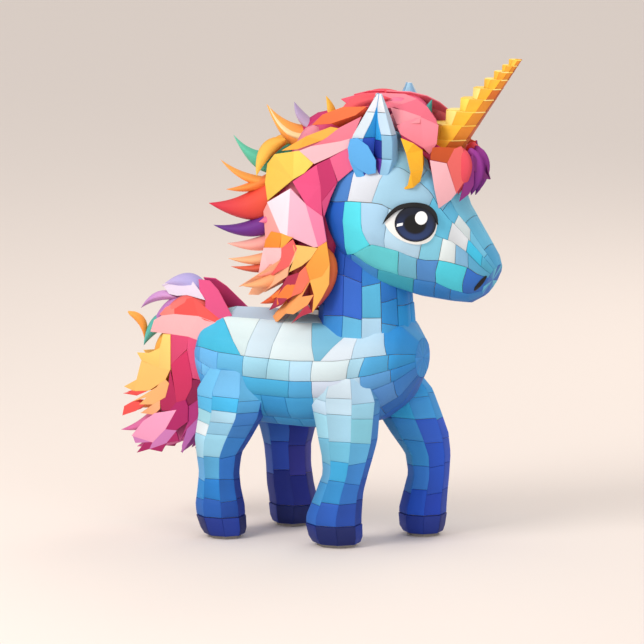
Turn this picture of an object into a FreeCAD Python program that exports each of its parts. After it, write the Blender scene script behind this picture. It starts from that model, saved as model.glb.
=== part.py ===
import FreeCAD, Part
import Sketcher
import math
import os

# Unicorn pinata: moulded paper shells faced with card tiles, on four hooves.
# +X is the way it faces, -Y is its right side, +Z is up. The origin is on the
# floor, under the middle of the whole figure. All sizes are in millimetres.

os.makedirs("parts", exist_ok=True)
doc = FreeCAD.newDocument("pinata")
sheet = doc.addObject("Spreadsheet::Sheet", "dims")
sizes = {}
pieces = {}


def size(alias, value):
    """Put one driving dimension in the sheet, and return its name in expressions."""
    row = len(sizes) + 1
    sheet.set("A%d" % row, alias.replace("_", " "))
    sheet.set("B%d" % row, str(value))
    sheet.setAlias("B%d" % row, alias)
    sizes[alias] = value
    return "dims." + alias


def bind(thing, **expressions):
    """Bind properties to the sheet. Two underscores stand for a dot."""
    for name, expression in expressions.items():
        thing.setExpression(name.replace("__", "."), expression)
    return thing


def piece(thing, label):
    """Name an object as a finished sub-part."""
    thing.Label = label
    pieces[label] = thing
    return thing


def origin_plane(body, role):
    return [feature for feature in body.Origin.OriginFeatures if feature.Role == role][0]


def attached_sketch(body, name, role):
    sketch = body.newObject("Sketcher::SketchObject", name)
    sketch.AttachmentSupport = [(origin_plane(body, role), "")]
    sketch.MapMode = "FlatFace"
    return sketch


def cut(name, base, tool):
    result = doc.addObject("Part::Cut", name)
    result.Base = base
    result.Tool = tool
    return result


def common(name, base, tool):
    result = doc.addObject("Part::Common", name)
    result.Base = base
    result.Tool = tool
    return result


def fuse(name, shapes):
    result = doc.addObject("Part::MultiFuse", name)
    result.Shapes = shapes
    return result


def group(name, links):
    result = doc.addObject("Part::Compound", name)
    result.Links = links
    return result


def mirrored(name, source):
    """The same piece on the other side of the middle plane."""
    result = doc.addObject("Part::Mirroring", name)
    result.Source = source
    result.Normal = FreeCAD.Vector(0, 1, 0)
    return result


def block(name, low, high):
    """A box between two corners, each given as three expressions."""
    box = doc.addObject("Part::Box", name)
    bind(box, Placement__Base__x=low[0], Placement__Base__y=low[1], Placement__Base__z=low[2])
    bind(box, Length="(%s) - (%s)" % (high[0], low[0]))
    bind(box, Width="(%s) - (%s)" % (high[1], low[1]))
    bind(box, Height="(%s) - (%s)" % (high[2], low[2]))
    return box


# Thicknesses that the whole figure shares, and the clearance of what moves.
size("wall", 3)
size("facing", 2)
size("clearance", 0.3)
size("reach", 400)

# Three surfaces, one inside another: inside of the wall, outside of the wall,
# and outside of the card facing.
SURFACES = {
    "inner": ("- dims.wall", -sizes["wall"]),
    "core": ("", 0),
    "outer": ("+ dims.facing", sizes["facing"]),
}


def ring(body, name, role, base, tilt, halves, corners):
    """A closed ring of straight facets. halves holds an expression and a value for
    each half width, and corners the angle of each corner."""
    sketch = attached_sketch(body, name, role)
    sketch.AttachmentOffset = FreeCAD.Placement(
        FreeCAD.Vector(0, 0, 0), FreeCAD.Rotation(FreeCAD.Vector(1, 0, 0), 1))
    bind(sketch, AttachmentOffset__Base__x=base[0], AttachmentOffset__Base__y=base[1],
         AttachmentOffset__Base__z=base[2], AttachmentOffset__Rotation__Angle=tilt)
    (wide, wide_value), (high, high_value) = halves
    turns = [math.radians(corner) for corner in corners]
    points = [FreeCAD.Vector(wide_value * math.cos(turn), high_value * math.sin(turn), 0)
              for turn in turns]
    count = len(points)
    sketch.addGeometry([Part.LineSegment(points[i], points[(i + 1) % count])
                        for i in range(count)], False)
    rules = [Sketcher.Constraint("Coincident", i, 2, (i + 1) % count, 1) for i in range(count)]
    for i, point in enumerate(points):
        rules.append(Sketcher.Constraint("DistanceX", -1, 1, i, 1, point.x))
        rules.append(Sketcher.Constraint("DistanceY", -1, 1, i, 1, point.y))
    sketch.addConstraint(rules)
    for i, turn in enumerate(turns):
        sketch.setExpression("Constraints[%d]" % (count + 2 * i), "(%s) * %.5f" % (wide, math.cos(turn)))
        sketch.setExpression("Constraints[%d]" % (count + 2 * i + 1), "(%s) * %.5f" % (high, math.sin(turn)))
    return sketch


def loft(name, sketches, body):
    result = body.newObject("PartDesign::AdditiveLoft", name + "_loft")
    result.Profile = sketches[0]
    result.Sections = sketches[1:]
    result.Ruled = True
    return body


def both_sides(angles):
    """Corner angles round a ring, from the angles up its right half."""
    return list(angles) + [180 - angle for angle in reversed(angles[1:-1])]


def long_loft(name, rings, surface, corners):
    """A loft along X. Its rings are upright, or tipped forward by their tilt."""
    grow, value = SURFACES[surface]
    keys = ["%s_%d" % (name, i) for i in range(len(rings))]
    for key, numbers in zip(keys, rings):
        if key + "_x" not in sizes:
            for part, number in zip(("x", "z", "high", "wide", "tilt"), numbers):
                size("%s_%s" % (key, part), number)
    if surface == "inner":
        keys = keys[1:-1]
    body = doc.addObject("PartDesign::Body", "%s_%s" % (name, surface))
    sketches = []
    for key in keys:
        along = "dims.%s_x" % key
        if surface == "outer" and key == keys[0]:
            along += " - dims.facing"
        if surface == "outer" and key == keys[-1]:
            along += " + dims.facing"
        halves = [("dims.%s_wide %s" % (key, grow), sizes[key + "_wide"] + value),
                  ("dims.%s_high %s" % (key, grow), sizes[key + "_high"] + value)]
        sketches.append(ring(body, "%s_%s_ring" % (key, surface), "YZ_Plane",
                             ("0", "dims.%s_z" % key, along), "dims.%s_tilt * 1 deg" % key,
                             halves, both_sides(corners)))
    return loft("%s_%s" % (name, surface), sketches, body)


def tall_loft(name, rings, middle, surface, corners):
    """A loft along Z. Its rings are level, centred at y = middle."""
    grow, value = SURFACES[surface]
    keys = ["%s_%d" % (name, i) for i in range(len(rings))]
    for key, numbers in zip(keys, rings):
        if key + "_z" not in sizes:
            for part, number in zip(("z", "x", "long", "wide"), numbers):
                size("%s_%s" % (key, part), number)
    body = doc.addObject("PartDesign::Body", "%s_%s" % (name, surface))
    sketches = []
    for key in keys:
        halves = [("dims.%s_long %s" % (key, grow), sizes[key + "_long"] + value),
                  ("dims.%s_wide %s" % (key, grow), sizes[key + "_wide"] + value)]
        sketches.append(ring(body, "%s_%s_ring" % (key, surface), "XY_Plane",
                             ("dims.%s_x" % key, middle, "dims.%s_z" % key), "0 deg",
                             halves, corners))
    return loft("%s_%s" % (name, surface), sketches, body)


right_half = block("right_half", ("-dims.reach", "-dims.reach", "-dims.reach"),
                   ("dims.reach", "0", "2 * dims.reach"))
left_half = block("left_half", ("-dims.reach", "0", "-dims.reach"),
                  ("dims.reach", "dims.reach", "2 * dims.reach"))

# Torso: a barrel of flat facets from rump to chest. Each ring is its place along
# X, its height, its half height and its half width, and its tilt.
TORSO_CORNERS = (-90, -66, -40, -15, 8, 32, 60, 90)
TORSO_RINGS = (
    (-128, 180, 16, 15, 0),
    (-116, 178, 38, 36, 0),
    (-90, 172, 53, 52, 0),
    (-50, 169, 57, 57, 0),
    (-5, 168, 57, 58, 0),
    (40, 171, 56, 57, 0),
    (75, 178, 52, 51, 0),
    (98, 184, 40, 39, 0),
    (110, 188, 18, 18, 0),
)
torso_outer = long_loft("torso", TORSO_RINGS, "outer", TORSO_CORNERS)
torso_core = long_loft("torso", TORSO_RINGS, "core", TORSO_CORNERS)
torso_inner = long_loft("torso", TORSO_RINGS, "inner", TORSO_CORNERS)
torso_wall = cut("torso_wall", torso_core, torso_inner)
torso_skin = cut("torso_skin", torso_outer, torso_core)

# Filling hatch: a flap of the left flank, cut free on three sides and hinged along
# its top edge by a strip of paper tape, so that it swings outwards and up.
size("hatch_half_length", 28)
size("hatch_middle_x", -5)
size("hatch_bottom_z", 140)
size("hatch_top_z", 196)
size("hatch_slit", 0.6)
size("tape_thick", 0.5)
size("tape_reach", 9)
size("tape_gap", 0.8)
size("hinge_y", 52.8)
size("hatch_slope", 20)
hatch_low = ("dims.hatch_middle_x - dims.hatch_half_length", "dims.wall", "dims.hatch_bottom_z")
hatch_high = ("dims.hatch_middle_x + dims.hatch_half_length", "dims.reach", "dims.hatch_top_z")
hatch_hole = block("hatch_hole", hatch_low, hatch_high)
hatch_plug = block("hatch_plug",
                   (hatch_low[0] + " + dims.hatch_slit", hatch_low[1], hatch_low[2] + " + dims.hatch_slit"),
                   (hatch_high[0] + " - dims.hatch_slit", hatch_high[1],
                    hatch_high[2] + " - dims.hatch_slit"))
piece(common("hatch_flap", torso_wall, hatch_plug), "hatch_flap")
piece(common("hatch_facing", torso_skin, hatch_plug), "hatch_facing")

# Hanging fixture: a steel clip on the back, pinned through the shell to a card
# plate inside it. A flat ring turns on the clip's pin and folds down to the rear.
size("hanger_x", -8)
size("clip_half_length", 11)
size("clip_half_width", 8)
size("clip_thick", 1.2)
size("clip_base_z", 229)
size("ear_inside", 5.3)
size("ear_high", 6)
size("pin_radius", 1.25)
size("pin_fit", 0.05)
size("pin_high", 3.6)
size("barrel_radius", 2.6)
size("ring_bore", 8)
size("ring_outside", 12)
size("ring_thick", 3)
size("ring_offset", 15.2)
size("plate_half_length", 30)
size("plate_half_width", 26)
size("plate_thick", 2)
size("plate_top_z", 214)
size("fastener_radius", 1.5)
size("fastener_head_radius", 3)
size("fastener_head_thick", 0.8)
size("fastener_offset", 7.5)
pin_z = "dims.clip_base_z + dims.clip_thick + dims.pin_high"


def rod(name, radius, start, length, axis, angle):
    """A cylinder from a start point along an axis turned from Z."""
    bar = doc.addObject("Part::Cylinder", name)
    bar.Placement = FreeCAD.Placement(FreeCAD.Vector(0, 0, 0), FreeCAD.Rotation(axis, angle))
    bind(bar, Radius=radius, Height=length)
    bind(bar, Placement__Base__x=start[0], Placement__Base__y=start[1], Placement__Base__z=start[2])
    return bar


ALONG_Y = (FreeCAD.Vector(1, 0, 0), -90)
ALONG_Z = (FreeCAD.Vector(0, 0, 1), 0)
fasteners = []
for side, sign in (("rear", "-"), ("front", "+")):
    spot_x = "dims.hanger_x %s dims.fastener_offset" % sign
    shank = rod("fastener_shank_" + side, "dims.fastener_radius",
                (spot_x, "0", "dims.plate_top_z - dims.plate_thick"),
                "dims.clip_base_z + dims.clip_thick - dims.plate_top_z + dims.plate_thick", *ALONG_Z)
    head = rod("fastener_head_" + side, "dims.fastener_head_radius",
               (spot_x, "0", "dims.clip_base_z + dims.clip_thick"), "dims.fastener_head_thick", *ALONG_Z)
    fasteners.append(fuse("fastener_" + side, [shank, head]))
piece(group("hanger_fasteners", fasteners), "hanger_fasteners")
hanger_plate = block("hanger_plate_blank",
                     ("dims.hanger_x - dims.plate_half_length", "-dims.plate_half_width",
                      "dims.plate_top_z - dims.plate_thick"),
                     ("dims.hanger_x + dims.plate_half_length", "dims.plate_half_width", "dims.plate_top_z"))
piece(cut("hanger_plate", common("hanger_plate_fitted", hanger_plate, torso_inner),
          pieces["hanger_fasteners"]), "hanger_plate")
clip_base = block("clip_base", ("dims.hanger_x - dims.clip_half_length", "-dims.clip_half_width",
                                "dims.clip_base_z - 3 * dims.clip_thick"),
                  ("dims.hanger_x + dims.clip_half_length", "dims.clip_half_width",
                   "dims.clip_base_z + dims.clip_thick"))
clip_ears = []
for side, low_y, high_y in (("right", "-dims.ear_inside - dims.clip_thick", "-dims.ear_inside"),
                            ("left", "dims.ear_inside", "dims.ear_inside + dims.clip_thick")):
    clip_ears.append(block("clip_ear_" + side,
                           ("dims.hanger_x - dims.ear_high / 2", low_y, "dims.clip_base_z"),
                           ("dims.hanger_x + dims.ear_high / 2", high_y,
                            "dims.clip_base_z + dims.clip_thick + dims.ear_high")))
hanger_pin = rod("hanger_pin", "dims.pin_radius",
                 ("dims.hanger_x", "-dims.ear_inside - 2 * dims.clip_thick", pin_z),
                 "2 * dims.ear_inside + 4 * dims.clip_thick", *ALONG_Y)
piece(hanger_pin, "hanger_pin")
clip_blank = fuse("clip_blank", [clip_base] + clip_ears)
clip_tools = fuse("clip_tools", [torso_outer, hanger_pin] + fasteners)
piece(cut("hanger_clip", clip_blank, clip_tools), "hanger_clip")
barrel = rod("ring_barrel", "dims.barrel_radius",
             ("dims.hanger_x", "-dims.ear_inside + dims.clearance", pin_z),
             "2 * (dims.ear_inside - dims.clearance)", *ALONG_Y)
ring_x = "dims.hanger_x - dims.ring_offset"
annulus = rod("ring_disc", "dims.ring_outside", (ring_x, "0", pin_z + " - dims.ring_thick / 2"),
              "dims.ring_thick", *ALONG_Z)
ring_hole = rod("ring_hole", "dims.ring_bore", (ring_x, "0", pin_z + " - dims.ring_thick"),
                "2 * dims.ring_thick", *ALONG_Z)
pin_hole = rod("pin_hole", "dims.pin_radius + dims.pin_fit",
               ("dims.hanger_x", "-dims.ear_inside", pin_z), "2 * dims.ear_inside", *ALONG_Y)
tongue = block("ring_tongue", ("dims.hanger_x - dims.ring_offset / 2", "-dims.ear_inside + dims.clearance",
                               pin_z + " - dims.ring_thick / 2"),
               ("dims.hanger_x", "dims.ear_inside - dims.clearance", pin_z + " + dims.ring_thick / 2"))
piece(cut("hanging_ring", fuse("ring_blank", [annulus, tongue, barrel]),
          fuse("ring_tools", [ring_hole, pin_hole])), "hanging_ring")

torso_tools = fuse("torso_tools", [hatch_hole] + fasteners)
torso_wall_open = cut("torso_wall_open", torso_wall, torso_tools)
torso_skin_open = cut("torso_skin_open", torso_skin, torso_tools)
piece(common("torso_shell_right", torso_wall_open, right_half), "torso_shell_right")
piece(common("torso_shell_left", torso_wall_open, left_half), "torso_shell_left")
piece(common("torso_facing_right", torso_skin_open, right_half), "torso_facing_right")
piece(common("torso_facing_left", torso_skin_open, left_half), "torso_facing_left")

# Hinge of the hatch: two leaves of one strip of tape, above and below the crease.
tape_low = ("dims.hatch_middle_x - dims.hatch_half_length + dims.hatch_slit",
            "dims.hinge_y - 4 * dims.tape_thick")
tape_high = ("dims.hatch_middle_x + dims.hatch_half_length - dims.hatch_slit", "dims.hinge_y")
tape_fixed = block("tape_fixed_blank", (tape_low[0], tape_low[1], "dims.hatch_top_z + dims.tape_gap"),
                   (tape_high[0], tape_high[1], "dims.hatch_top_z + dims.tape_reach"))
tape_moving = doc.addObject("Part::Box", "tape_moving_blank")
tape_moving.Placement = FreeCAD.Placement(
    FreeCAD.Vector(0, 0, 0), FreeCAD.Rotation(FreeCAD.Vector(1, 0, 0), 1))
bind(tape_moving, Length="2 * (dims.hatch_half_length - dims.hatch_slit)", Width="4 * dims.tape_thick",
     Height="dims.tape_reach - dims.tape_gap", Placement__Rotation__Angle="dims.hatch_slope * 1 deg",
     Placement__Base__x=tape_low[0],
     Placement__Base__y="dims.hinge_y - 4 * dims.tape_thick * cos(dims.hatch_slope)"
                        " + dims.tape_reach * sin(dims.hatch_slope)",
     Placement__Base__z="dims.hatch_top_z - 4 * dims.tape_thick * sin(dims.hatch_slope)"
                        " - dims.tape_reach * cos(dims.hatch_slope)")
piece(cut("tape_fixed", tape_fixed, torso_outer), "tape_fixed")
piece(cut("tape_moving", tape_moving, torso_outer), "tape_moving")

# Closing seal: a round sticker on the flap's lower edge, pressed over the slit.
size("seal_radius", 11)
size("seal_thick", 1.6)
size("seal_y", 53.4)
seal_blank = rod("seal_blank", "dims.seal_radius",
                 ("dims.hatch_middle_x", "dims.seal_y - 6 * dims.seal_thick",
                  "dims.hatch_bottom_z + dims.clearance"),
                 "6 * dims.seal_thick", *ALONG_Y)
piece(cut("closing_seal", seal_blank, torso_outer), "closing_seal")

# Neck: a twelve-sided tube from the withers up into the head. Each ring is its
# height, its place along X, and its half length and half width.
NECK_CORNERS = [15 + 30 * step for step in range(12)]
NECK_RINGS = (
    (195, 52, 50, 42),
    (235, 52, 47, 38),
    (275, 51, 45, 35),
    (310, 54, 44, 34),
    (350, 62, 40, 32),
)
neck_outer = tall_loft("neck", NECK_RINGS, "0", "outer", NECK_CORNERS)
neck_core = tall_loft("neck", NECK_RINGS, "0", "core", NECK_CORNERS)
neck_inner = tall_loft("neck", NECK_RINGS, "0", "inner", NECK_CORNERS)

# Head: a ball of facets drawn out into the muzzle, tipped further down at each ring.
HEAD_CORNERS = (-90, -62, -36, -12, 26, 52, 74, 90)
HEAD_RINGS = (
    (10, 350, 20, 18, 5),
    (22, 349, 48, 36, 6),
    (48, 345, 70, 50, 10),
    (85, 337, 79, 57, 18),
    (115, 319, 68, 54, 26),
    (135.5, 298.5, 51.6, 45, 26),
    (161, 282.5, 37, 34, 25.5),
    (177, 273, 27, 27, 26),
    (184, 271, 16, 17, 26),
)
head_outer = long_loft("head", HEAD_RINGS, "outer", HEAD_CORNERS)
head_core = long_loft("head", HEAD_RINGS, "core", HEAD_CORNERS)
head_inner = long_loft("head", HEAD_RINGS, "inner", HEAD_CORNERS)
neck_ends = fuse("neck_ends", [torso_outer, head_outer])
piece(cut("neck_shell", cut("neck_wall", neck_core, neck_inner), neck_ends), "neck_shell")
piece(cut("neck_facing", cut("neck_skin", neck_outer, neck_core), neck_ends), "neck_facing")

# Eyes: round card discs stacked on the side of the head, turned a little forward.
size("eye_x", 121)
size("eye_y", 49.5)
size("eye_z", 331)
size("eye_turn", 12)
size("eye_radius", 20)
size("eye_depth", 10)
size("eye_out", 5)
size("iris_radius", 17)
size("iris_thick", 1.2)
size("iris_shift", 1.5)
size("highlight_radius", 6)
size("highlight_thick", 0.8)
size("highlight_x", 7)
size("highlight_z", 8)
size("lash_radius", 24)
size("lash_thick", 2)


def eye_disc(name, radius, out, thick, shift_x, shift_z):
    """A disc square to the eye's axis, whose front is out from the eye's centre."""
    disc = doc.addObject("Part::Cylinder", name)
    disc.Placement = FreeCAD.Placement(
        FreeCAD.Vector(0, 0, 0), FreeCAD.Rotation(FreeCAD.Vector(1, 0, 0), 90))
    bind(disc, Radius=radius, Height=thick)
    bind(disc, Placement__Base__x=shift_x, Placement__Base__y="-((%s) - (%s))" % (out, thick),
         Placement__Base__z=shift_z)
    return disc


def placed_eye(name, source):
    """Turn a stack about the upright axis and carry it to its place on the head."""
    result = doc.addObject("Part::Compound", name)
    result.Links = [source]
    result.Placement = FreeCAD.Placement(
        FreeCAD.Vector(0, 0, 0), FreeCAD.Rotation(FreeCAD.Vector(0, 0, 1), 1))
    bind(result, Placement__Base__x="dims.eye_x", Placement__Base__y="-dims.eye_y",
         Placement__Base__z="dims.eye_z", Placement__Rotation__Angle="dims.eye_turn * 1 deg")
    return result


def pair(label, right):
    """The right-hand piece and its mirror image, as one node of two solids."""
    return piece(group(label, [right, mirrored(label + "_left", right)]), label)


white_disc = eye_disc("white_disc", "dims.eye_radius", "dims.eye_out",
                      "dims.eye_out + dims.eye_depth", "0", "0")
iris_disc = eye_disc("iris_disc", "dims.iris_radius", "dims.eye_out + dims.iris_thick", "dims.iris_thick",
                     "dims.iris_shift", "0")
shine_disc = eye_disc("shine_disc", "dims.highlight_radius",
                      "dims.eye_out + dims.iris_thick + dims.highlight_thick", "dims.highlight_thick",
                      "dims.highlight_x", "dims.highlight_z")
lash_ring = cut("lash_ring", eye_disc("lash_disc", "dims.lash_radius", "dims.eye_out + dims.lash_thick",
                                      "dims.eye_out + dims.lash_thick + dims.eye_depth", "0", "0"),
                eye_disc("lash_hole", "dims.eye_radius", "2 * dims.eye_depth",
                         "4 * dims.eye_depth", "0", "0"))
lash_box = block("lash_box", ("-1.5 * dims.lash_radius", "-3 * dims.eye_depth", "dims.eye_radius * 0.2"),
                 ("1.5 * dims.lash_radius", "3 * dims.eye_depth", "2 * dims.lash_radius"))
lash = placed_eye("lash_placed", common("lash_arc", lash_ring, lash_box))
white = cut("white_right", placed_eye("white_placed", white_disc), head_core)
pair("eye_whites", white)
pair("irises", placed_eye("iris_right", iris_disc))
pair("eye_highlights", placed_eye("shine_right", shine_disc))
lash_right = cut("lash_right", lash, head_outer)
pair("eyelashes", lash_right)

# Nostrils: a small dark slip of card on each side of the muzzle.
size("nostril_x", 176)
size("nostril_y", 33)
size("nostril_z", 277)
size("nostril_long", 5)
size("nostril_high", 3)
size("nostril_deep", 9)
nostril = doc.addObject("Part::Ellipsoid", "nostril_blank")
bind(nostril, Radius1="dims.nostril_high", Radius2="dims.nostril_long", Radius3="dims.nostril_deep")
bind(nostril, Placement__Base__x="dims.nostril_x", Placement__Base__y="-dims.nostril_y + dims.nostril_deep",
     Placement__Base__z="dims.nostril_z")
pair("nostrils", cut("nostril_right", nostril, head_outer))

# Horn: a rolled paper cone faced with card steps, with a collar of card round its
# foot. It stands on the forehead and leans forward.
size("horn_x", 128)
size("horn_z", 396)
size("horn_lean", 41)
size("horn_length", 130)
size("horn_radius", 18)
size("horn_tip", 1.5)
size("horn_wall", 1.5)
size("horn_sunk", 30)
size("collar_high", 12)
size("collar_thick", 3.5)


def horn_cone(name, grow, base, top):
    """A cone about the horn's axis; its foot is sunk into the head."""
    cone = doc.addObject("Part::Cone", name)
    cone.Placement = FreeCAD.Placement(
        FreeCAD.Vector(0, 0, 0), FreeCAD.Rotation(FreeCAD.Vector(0, 1, 0), 1))
    taper = "(dims.horn_radius - dims.horn_tip) / dims.horn_length"
    bind(cone, Radius1="dims.horn_radius - (%s) * (%s) + (%s)" % (base, taper, grow))
    bind(cone, Radius2="dims.horn_radius - (%s) * (%s) + (%s)" % (top, taper, grow))
    bind(cone, Height="(%s) - (%s)" % (top, base))
    bind(cone, Placement__Rotation__Angle="dims.horn_lean * 1 deg",
         Placement__Base__x="dims.horn_x + (%s) * sin(dims.horn_lean)" % base,
         Placement__Base__z="dims.horn_z + (%s) * cos(dims.horn_lean)" % base)
    return cone


horn_core = horn_cone("horn_core", "0", "-dims.horn_sunk", "dims.horn_length - 2 * dims.facing")
horn_hollow = horn_cone("horn_hollow", "-dims.horn_wall", "-dims.horn_sunk", "dims.horn_length * 0.85")
horn_outer = horn_cone("horn_outer", "dims.facing", "-dims.horn_sunk", "dims.horn_length")
collar_outer = horn_cone("collar_outer", "dims.facing + dims.collar_thick", "-dims.horn_sunk",
                         "dims.collar_high")
piece(cut("horn_cone", cut("horn_rolled", horn_core, horn_hollow), head_outer), "horn_cone")
piece(cut("horn_facing", cut("horn_skin", horn_outer, horn_core), head_outer), "horn_facing")
piece(cut("horn_collar", cut("collar_skin", collar_outer, horn_outer), head_outer), "horn_collar")

# Ears: pointed leaves of card with a folded-back rim and a darker liner inside.
# Each ring is its height, its place along X, and its half length and half width.
EAR_CORNERS = [30 * step for step in range(12)]
EAR_RINGS = (
    (376, 76, 19, 8),
    (392, 75, 25, 9),
    (414, 77, 23, 9),
    (437, 80, 13, 7),
    (459, 81.5, 2.5, 2.5),
)
LINER_RINGS = (
    (380, 76, 11, 5),
    (394, 75, 16, 6),
    (414, 77, 14, 6),
    (434, 79.5, 7, 4.5),
    (446, 80.5, 1.5, 2),
)
size("ear_y", 40)
size("liner_y", 47)
ear_leaf = tall_loft("ear", EAR_RINGS, "-dims.ear_y", "core", EAR_CORNERS)
liner_leaf = tall_loft("liner", LINER_RINGS, "-dims.liner_y", "core", EAR_CORNERS)
ear_right = cut("ear_shell_right", cut("ear_hollowed", ear_leaf, liner_leaf), head_outer)
liner_right = cut("ear_liner_right", common("liner_fitted", ear_leaf, liner_leaf), head_outer)
piece(ear_right, "ear_right")
piece(liner_right, "ear_liner_right")
piece(mirrored("ear_shell_left", ear_right), "ear_left")
piece(mirrored("liner_mirrored", liner_right), "ear_liner_left")

# Head walls and facings, with seats for the eyes, in halves glued along the middle.
head_wall = cut("head_wall", head_core, head_inner)
head_skin = cut("head_skin", head_outer, head_core)
head_skin_seated = cut("head_skin_seated", head_skin, pieces["eye_whites"])
piece(common("head_shell_right", head_wall, right_half), "head_shell_right")
piece(common("head_shell_left", head_wall, left_half), "head_shell_left")
piece(common("head_facing_right", head_skin_seated, right_half), "head_facing_right")
piece(common("head_facing_left", head_skin_seated, left_half), "head_facing_left")

# Legs: eight-sided tubes in a walking stance, each on a solid hoof with a card sole.
# Each ring is its height, its place along X, and its half length and half width.
FLAT = 1 / math.cos(math.radians(22.5))
LEG_CORNERS = [22.5 + 45 * step for step in range(8)]
LEG_RINGS = {
    "leg_rear_right": ((172, -72, 24, 11), (150, -75, 34, 16), (124, -77, 30, 19), (100, -86, 25, 20),
                       (85, -90, 19.5, 18.5), (66, -90, 17, 17), (50, -90, 18.5, 17.5),
                       (32, -89, 21.5, 19), (22, -88, 21, 19)),
    "leg_front_right": ((172, 46, 24, 11), (150, 46, 33, 16), (125, 48, 29, 19), (108, 49, 26.5, 20),
                        (91, 48.5, 22.5, 19), (74, 46.5, 19.5, 17.5), (54, 40, 20.5, 18),
                        (30, 34, 24.5, 20), (22, 34, 24.5, 20)),
    "leg_front_left": ((170, 58, 24, 11), (148, 68, 33, 16), (125, 80, 30, 19), (103, 92, 26, 20),
                       (83, 101, 19.5, 18.5), (63, 102, 17.5, 17), (45, 98.6, 19, 17.5),
                       (28, 95.6, 20.5, 18.5), (22, 95.5, 20.5, 18.5)),
    "leg_rear_left": ((172, -66, 24, 11), (150, -65, 34, 16), (124, -58, 30, 19), (100, -51, 25, 20),
                      (82, -51, 20.5, 19), (62, -50, 19.5, 18), (42, -48, 20.5, 18.5),
                      (28, -45, 21, 19), (22, -45, 20.5, 19)),
}
HOOF_RINGS = {
    "rear_right": ((22, -88, 21, 19), (8, -85, 19, 17.5), (3, -84, 16.5, 15.5)),
    "front_right": ((22, 34, 24.5, 20), (8, 36, 23, 19), (3, 37, 20, 17)),
    "front_left": ((22, 95.5, 20.5, 18.5), (9, 95, 19, 17.5), (3, 96, 16, 15.5)),
    "rear_left": ((22, -45, 20.5, 19), (10, -45, 19.5, 18), (3, -46, 16, 15.5)),
}
size("leg_y", 43)
size("sole_inset", 1.5)
size("sole_thick", 3)
for leg, rings in LEG_RINGS.items():
    corner = leg[4:]
    middle = "-dims.leg_y" if corner.endswith("right") else "dims.leg_y"
    widened = [(high, along, long * FLAT, wide * FLAT) for high, along, long, wide in rings]
    outer = tall_loft(leg, widened, middle, "outer", LEG_CORNERS)
    core = tall_loft(leg, widened, middle, "core", LEG_CORNERS)
    inner = tall_loft(leg, widened, middle, "inner", LEG_CORNERS)
    piece(cut(leg + "_shell", cut(leg + "_wall", core, inner), torso_outer), leg + "_shell")
    piece(cut(leg + "_facing", cut(leg + "_skin", outer, core), torso_outer), leg + "_facing")
    hoof = "hoof_" + corner
    widened = [(high, along, long * FLAT, wide * FLAT) for high, along, long, wide in HOOF_RINGS[corner]]
    piece(tall_loft(hoof, widened, middle, "outer", LEG_CORNERS), hoof)
    sole = "sole_" + corner
    last = "%s_%d" % (hoof, len(widened) - 1)
    pad = doc.addObject("PartDesign::Body", sole + "_body")
    halves = [("dims.%s_%s - dims.sole_inset" % (last, way),
               sizes["%s_%s" % (last, way)] - sizes["sole_inset"])
              for way in ("long", "wide")]
    outline = ring(pad, sole + "_outline", "XY_Plane", ("dims.%s_x" % last, middle, "0"), "0 deg",
                   halves, LEG_CORNERS)
    plate = pad.newObject("PartDesign::Pad", sole + "_plate")
    plate.Profile = outline
    bind(plate, Length="dims.sole_thick")
    piece(pad, sole)


def lock(name, root, tip, bow, width, low_y, high_y):
    """One lock of paper hair: a slip between two arcs, from root to tip in the XZ
    plane. bow is how far its middle line bulges to the left of that direction."""
    for key, number in (("root_x", root[0]), ("root_z", root[1]), ("tip_x", tip[0]), ("tip_z", tip[1]),
                        ("bow", bow), ("width", width)):
        size("%s_%s" % (name, key), number)
    here = "dims.%s_" % name
    body = doc.addObject("PartDesign::Body", name)
    sketch = attached_sketch(body, name + "_outline", "XZ_Plane")
    length = math.hypot(tip[0] - root[0], tip[1] - root[1])
    reach = "sqrt((%stip_x - %sroot_x)^2 + (%stip_z - %sroot_z)^2)" % ((here,) * 4)
    edges = ((bow + width / 2, "(%sbow + %swidth / 2)" % (here, here)),
             (bow - width / 2, "(%sbow - %swidth / 2)" % (here, here)))
    sketch.addGeometry([Part.Arc(FreeCAD.Vector(0, 0, 0), FreeCAD.Vector(length / 2, sag, 0),
                                 FreeCAD.Vector(length, 0, 0)) for sag, text in edges], False)
    rules = []
    for i, (sag, text) in enumerate(edges):
        start = 1 if sketch.getPoint(i, 1).Length < length / 2 else 2
        rules.append(Sketcher.Constraint("Coincident", i, start, -1, 1))
        rules.append(Sketcher.Constraint("PointOnObject", i, 3 - start, -1))
        rules.append(Sketcher.Constraint("DistanceX", -1, 1, i, 3, length / 2))
        rules.append(Sketcher.Constraint("DistanceY", -1, 1, i, 3, sag / 2 - length ** 2 / (8 * sag)))
    sketch.addConstraint(rules)
    for i, (sag, text) in enumerate(edges):
        sketch.setExpression("Constraints[%d]" % (4 * i + 2), "%s / 2" % reach)
        sketch.setExpression("Constraints[%d]" % (4 * i + 3),
                             "%s / 2 - (%s)^2 / (8 * %s)" % (text, reach, text))
    sketch.AttachmentOffset = FreeCAD.Placement(
        FreeCAD.Vector(0, 0, 0), FreeCAD.Rotation(FreeCAD.Vector(0, 0, 1), 1))
    bind(sketch, AttachmentOffset__Base__x=here + "root_x", AttachmentOffset__Base__y=here + "root_z",
         AttachmentOffset__Base__z="-(%s)" % high_y,
         AttachmentOffset__Rotation__Angle="atan2(%stip_z - %sroot_z; %stip_x - %sroot_x)" % ((here,) * 4))
    pad = body.newObject("PartDesign::Pad", name + "_pad")
    pad.Profile = sketch
    bind(pad, Length="(%s) - (%s)" % (high_y, low_y))
    return body


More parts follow.
